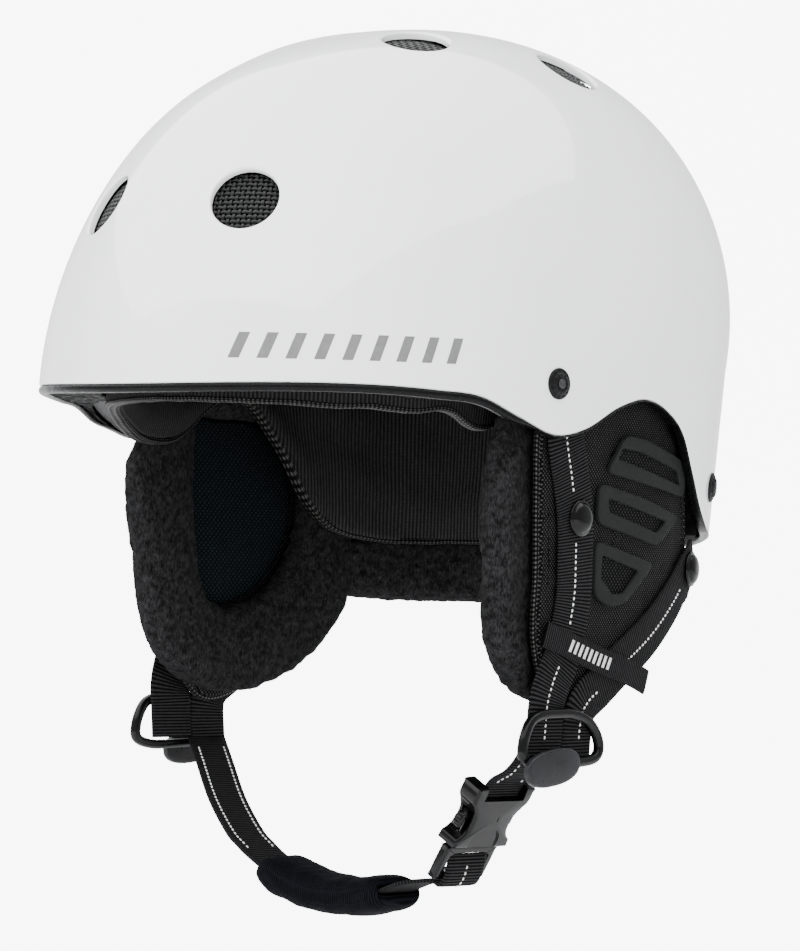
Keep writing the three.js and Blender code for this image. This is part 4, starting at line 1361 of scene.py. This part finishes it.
def make_buckle():
    case = SOCKET_HALF + [(0, 12.5)] + [(-x, y) for x, y in SOCKET_HALF[::-1]] + [(0, -12.6)]
    ob = buckle_part("socket", plate(case, 9.0, 1.1, 0.45, 0.7, 0.45))
    ends = ((12, 14, 3.3), (11.6, -5, 2.5))
    pocket = loft([[(-w, y, -h), (w, y, -h), (w, y, h), (-w, y, h)] for w, y, h in ends])
    side, side_faces = plate(oval(9.6, 5.6, 2.4), 40, 0.3)
    side = np.column_stack([side[:, 2], side[:, 0] + 2.6, side[:, 1]])
    notch = plate([(-10.6, -15), (-10.6, -7.4), (10.6, -7.4), (10.6, -15)], 14, 0.3, sharp=True)
    dent, dent_faces = plate(oval(15, 13, 2.2, y=10.5), 1.7, 0.3)
    shapes = [pocket, (side, side_faces), notch]
    shapes += [(dent + np.array([0, 0, z]), dent_faces) for z in (4.9, -4.9)]
    tools = [buckle_part(f"cut_{i}", shape, None) for i, shape in enumerate(shapes)]
    assign(cut(ob, tools), "left_flap", "buckle_socket")

    ob = buckle_part("plug", plate(PLUG_OUTLINE, 3.9, 1.1, 0.0, 0.8))
    ob = cut(ob, [buckle_part("cut_w", plate(oval(21.6, 8.4, 5, y=20.2), 8, 0.3), None)])
    tongue = [(-2.3, 14.2), (-2.3, 0.8), (-1.4, -0.2), (1.4, -0.2), (2.3, 0.8), (2.3, 14.2)]
    boolean(ob, [buckle_part("tongue", plate(tongue, 2.6, 0.5, 0, 0.6))], "UNION")
    assign(shade_by_angle(ob), "chin", "buckle_plug")

    arm, faces = plate(PRONG_OUTLINE, 2.6, 0.7, 0.0, 0.5)
    arm[:, 2] *= 1 + 0.45 * ease(arm[:, 0], 10.8, 13.4)
    arm[:, 0] += 0.16 * np.sin(arm[:, 1] * 3.6) * ease(arm[:, 0], 12.4, 13.8)
    for sign, tag in ((1, "rear"), (-1, "front")):
        ob = buckle_part(f"prong_{tag}_arm", (arm * np.array([sign, 1, 1]), faces))
        assign(ob, f"{tag}_prong", f"prong_{tag}")


def make_lower_straps():
    x = SIDE[0]
    path = [(x - 1.8, 1, -119), (x - 2.1, 0.9, -123), (x - 4, 0.6, -126.4), (x - 8, 0.2, -130.4)]
    path += [in_buckle(0, -14.5, -2.2), in_buckle(0, -7.6, -1.4)]
    shape, mid, n = cross_band(path, 20, 1.6, 0.8)
    assign(solid("lower_strap", shape, "web"), "left_flap", "lower_strap_left")
    run = mid[:, 2] < -126
    for k, off in enumerate((-6.5, 6.5)):
        line = (mid + n * 0.82)[run][:-7] + np.array([0, off, 0])
        thread = stitches(line, n[run][:-7], f"lower_thread_{k}")
        assign(thread, "left_flap", None)


CHIN_CENTRE = np.array([9.7, -7, -98.5])
CHIN_R = 78.8


def on_chin(deg, r=CHIN_R, y=0.0):
    deg, r, y = np.broadcast_arrays(*(np.asarray(v, float) for v in (deg, r, y)))
    a = np.radians(deg)
    return CHIN_CENTRE + np.stack([r * np.sin(a), y, -r * np.cos(a)], -1)


def make_chin():
    path = [(-88.2, 20, -125.5), (-77.5, 13, -133.2), (-60, 2, -146.7), (-44, -5.6, -157.6), (-37, -7, -162)]
    path += [on_chin(d) for d in (-32.5, -25, -17, -9, -1, 7, 15, 22.5)] + [(45, -4, -170.2)]
    # the end turns once round the plug's bar
    turn = ((29.9, 1.0), (29.3, -2.2), (26, -3.1), (21.2, -2.2), (17.4, -0.2))
    path += [in_buckle(0, y, z) for y, z in turn]
    shape, mid, n = cross_band(path, 20, 1.6, 1.0)
    assign(solid("chin_web", shape, "web"), "chin", "chin_strap")
    x, at = mid[:, 0], np.arange(len(mid))
    near, far = (x < -33) & (x > -84), (x > 49) & (at < len(mid) - 4)
    lines = ((-6.8, -1, near), (6.8, -1, near), (-6.8, 1, near), (6.8, 1, near), (0.0, -1, far))
    for k, (off, sign, run) in enumerate(lines):
        line = (mid + n * 0.82 * sign)[run] + np.array([0, off, 0])
        assign(stitches(line, n[run] * sign, f"chin_thread_{k}"), "chin", None)

    m = 44
    a = turns(m)
    c, s = bent(np.cos(a), 0.62), bent(np.sin(a), 0.8)
    lo, hi = -26.5, 16.5
    rings = []
    for f in np.linspace(0, 1, 64):
        k = 1 - 0.30 * max(0, 1 - f / 0.10) ** 2 - 0.30 * max(0, 1 - (1 - f) / 0.10) ** 2
        rings.append(on_chin(lo + (hi - lo) * f, CHIN_R + 0.5 + 6.6 * s * k, 13.4 * c * (0.55 + 0.45 * k)))
    wide, deep = 10.8 * bent(np.cos(a), 0.35), 1.35 * bent(np.sin(a), 0.35)
    for f in np.linspace(1, 0, 34):
        rings.append(on_chin(lo + 0.4 + (hi - lo - 0.8) * f, CHIN_R + deep, wide))
    ob = solid("chin_sleeve", loft(rings, True), "chin")

    def allow(p):
        v = p - CHIN_CENTRE
        r = np.hypot(v[:, 0], v[:, 2]) - CHIN_R
        deg = np.degrees(np.arctan2(v[:, 0], -v[:, 2]))
        away = np.maximum(np.abs(r) / 7.0, np.abs(v[:, 1]) / 13.5)
        return ease(away, 0.45, 0.9) * ease(deg, lo, lo + 5) * (1 - ease(deg, hi - 5, hi))

    ob = puffed(ob, 0, 3.0, 1.4, allow)
    p = points_of(ob)
    v = p - CHIN_CENTRE
    rim = np.abs(np.hypot(v[:, 0], v[:, 2]) - CHIN_R) > 2.2
    creases = (0.30 * lumps(p, 11, 31) + 0.12 * lumps(p, 5, 32)) * rim
    p += read(ob.data.vertices, "normal", 3).astype(float) * creases[:, None]
    ob.data.vertices.foreach_set("co", to_row(p).astype(np.float32).ravel())
    ob.data.update()
    ob = modified(ob, "SUBSURF", levels=1, render_levels=1)
    assign(ob, "chin_cushion", "chin_pad")


# ---------------------------------------------------------------- goggle holder and printed bars
HOLDER_OUTLINE = [
    (-12, 15), (-17, 11), (-17, -9), (-13, -15), (0, -15), (13, -15), (17, -9), (17, 11), (12, 15), (0, 15),
]
LOOP_OUTLINE = [
    (-8, 23), (-11.6, 19), (-12, 8), (-11.4, -6), (-10.4, -17), (-7.5, -22.5), (0, -23), (7.5, -22.5),
    (10.4, -17), (11.4, -6), (12, 8), (11.6, 19), (8, 23), (0, 23),
]


def make_retainer():
    y = float(wall_reach(math.pi, 6.0))
    back = np.stack([[-1.0, 0, 0], [0, 0, 1], [0, 1, 0]], 1)
    spot = (np.array([0, y + 2.05, -10]), back)
    ob = solid("goggle_plate", plate(HOLDER_OUTLINE, 2.9, 0.9, 0.25, 0.9), "hard", spot)
    assign(ob, "shell", "retainer_plate")
    pts, faces = plate(LOOP_OUTLINE, 2.3, 0.8, 0.3, 0.9)
    grip = ease(-pts[:, 1], 6, 9) * (1 - ease(-pts[:, 1], 18.5, 20.5)) * (pts[:, 2] > 0.9)
    pts[:, 2] += 0.25 * np.sin(pts[:, 1] * 2.2) * grip * (np.abs(pts[:, 0]) < 8.5)
    spot = (np.array([0, y + 5.4, -16.5]), back)
    ob = solid("goggle_strap_loop", (pts, faces), "soft", spot)
    ob = cut(ob, [solid("cut_h", plate(oval(12, 7, 3.5, y=16), 8, 0.3), None, spot)])
    assign(ob, "goggle_loop", "retainer_loop")
    screw = lathe([(0, -0.2), (2.1, -0.2), (2.1, 0.5), (1.7, 0.95), (1.0, 1.15), (0, 1.2)], 32)
    for i, x in enumerate((-13.6, 13.6)):
        ob = solid(f"plate_screw_{i}", screw, "rivet", (np.array([x, y + 3.5, -15]), back))
        assign(ob, "shell", None)


def wall_point(phi, z, lift):
    r = np.where(z >= WALL_TOP, plan_reach(phi, z), wall_reach(phi, z))
    p = polar(r, phi, z)
    return p + outward(p, 3.0) * lift


def make_bars():
    """A row of plain slanted grey bars low on the left front of the shell."""
    half = [(-1, -1), (0, -1), (1, -1), (1, -0.33), (1, 0.33)]
    u, v = np.array(half + [(-x, -y) for x, y in half]).T
    radius = 108
    parts = []
    for k in range(9):
        centre = math.radians(22 + k * 4.7)
        rings = []
        for lift, edge in ((-0.3, 0.0), (0.05, 0.0), (0.09, 0.12)):
            phi = centre + (u * (1.75 - edge) + v * 1.5) / radius
            rings.append(wall_point(phi, 13.5 + v * (4.4 - edge), lift))
        parts.append(loft(rings))
    ob = fixed_normals(build("front_bars", *joined(parts), "decal", smooth=False))
    assign(ob, "shell", None)


for make in (
    make_shell, make_vents, make_rivets, make_trim, make_liner, make_inner_pads, make_neck,
    make_ear_pads, make_plush, make_ribs, make_flap_straps, make_snaps, make_dividers, make_buckle,
    make_lower_straps, make_chin, make_retainer, make_bars,
):
    make()

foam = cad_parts["impact_liner"]
foam.data.materials.clear()
foam.data.materials.append(M["foam"])


# ---------------------------------------------------------------- camera, light, floor
AZ, EL, ROLL, FAR = math.radians(40.888), math.radians(-1.298), math.radians(1.33), 1685.4
back = np.array([math.sin(AZ) * math.cos(EL), -math.cos(AZ) * math.cos(EL), math.sin(EL)])
right = np.array([math.cos(AZ), math.sin(AZ), 0])
up = np.cross(back, right)
side = right * math.cos(ROLL) + up * math.sin(ROLL)
top = up * math.cos(ROLL) - right * math.sin(ROLL)
SHIFT_RIGHT, SHIFT_DOWN = 16.207, 27.174
eye = back * FAR + side * SHIFT_RIGHT - top * SHIFT_DOWN
cam = add_object("camera", bpy.data.cameras.new("camera"))
cam.data.sensor_fit = "VERTICAL"
cam.data.sensor_height = 36
cam.data.lens = 176.78
cam.data.clip_end = 50
turn = Matrix([[side[i], top[i], back[i]] for i in range(3)])
cam.matrix_world = Matrix.Translation(Vector(to_row(eye)[0])) @ turn.to_4x4()
bpy.context.scene.camera = cam


def area_light(name, at, to, size, power):
    data = bpy.data.lights.new(name, "AREA")
    data.shape = "RECTANGLE"
    data.size, data.size_y = size
    data.energy = power
    ob = add_object(name, data)
    v = Vector(at) - Vector(to)
    ob.matrix_world = Matrix.Translation(Vector(at)) @ v.to_track_quat("Z", "Y").to_matrix().to_4x4()
    return ob


middle = (0, 0, -0.05)
lamps = [
    area_light("overhead", (-0.33, -0.63, 1.0), (-0.33, -0.63, 0), (3.2, 2.6), 80),
    area_light("left_front", (-0.6, -1.9, 0.35), middle, (1.2, 1.2), 42),
    area_light("right_front", (1.9, -0.9, 0.25), middle, (1.2, 1.2), 40),
    area_light("behind", (0.2, 1.8, 0.5), middle, (1.2, 1.0), 11),
]
lamps[0].rotation_euler = (0, 0, math.radians(13.3))
for lamp in lamps[1:]:
    lamp.visible_glossy = False

# the background looks white, yet lights the helmet softly
world = bpy.data.worlds.new("studio")
bpy.context.scene.world = world
world.use_nodes = True
nt = world.node_tree
seen = nt.nodes["Background"]
around = nt.nodes.new("ShaderNodeBackground")
for shader, color, strength in ((seen, (0.985, 0.99, 1.0, 1), 8.5), (around, (0.97, 0.98, 1.0, 1), 0.85)):
    shader.inputs["Color"].default_value = color
    shader.inputs["Strength"].default_value = strength
ray = nt.nodes.new("ShaderNodeLightPath")
pick = nt.nodes.new("ShaderNodeMixShader")
wires = (ray.outputs["Is Camera Ray"], around.outputs[0], seen.outputs[0])
for i, output in enumerate(wires):
    nt.links.new(output, pick.inputs[i])
nt.links.new(pick.outputs[0], nt.nodes["World Output"].inputs[0])

# floor that curves up into a backdrop behind the helmet
curve = 0.9
sweep = [(curve * math.sin(a) + 1.2, curve - curve * math.cos(a)) for a in np.linspace(0, 1.5, 14)]
sweep = [(-1.6, 0)] + sweep + [(2.15, 3.0)]
low_z = -0.40
verts, n = [], len(sweep)
for across in (-3.2, 3.2):
    for d, h in sweep:
        verts.append(tuple(np.array([0, 0, low_z + h]) - back * np.array([1, 1, 0]) * d + right * across))
paper = bpy.data.meshes.new("backdrop")
paper.from_pydata(verts, [], [(i, n + i, n + i + 1, i + 1) for i in range(n - 1)])
paper.polygons.foreach_set("use_smooth", [True] * len(paper.polygons))
drop = add_object("backdrop", paper)
sheet = Finish("backdrop_paper", (0.90, 0.90, 0.91), 0.9)
sheet.paint(sheet.noise(300, 2), (0.895, 0.897, 0.905), (0.905, 0.907, 0.915))
paper.materials.append(sheet.mat)
glow = sheet.node("ShaderNodeLightPath")
sheet.link(sheet.math("MULTIPLY", glow.outputs["Is Camera Ray"], 6.6), sheet.bsdf.inputs["Emission Strength"])
sheet.bsdf.inputs["Emission Color"].default_value = (0.985, 0.99, 1.0, 1)
# the sheet is see-through from behind and below
facing = sheet.node("ShaderNodeNewGeometry")
clear = sheet.node("ShaderNodeBsdfTransparent")
both = sheet.node("ShaderNodeMixShader")
for i, output in enumerate((facing.outputs["Backfacing"], sheet.bsdf.outputs[0], clear.outputs[0])):
    sheet.link(output, both.inputs[i])
sheet.link(both.outputs[0], sheet.nt.nodes["Material Output"].inputs["Surface"])
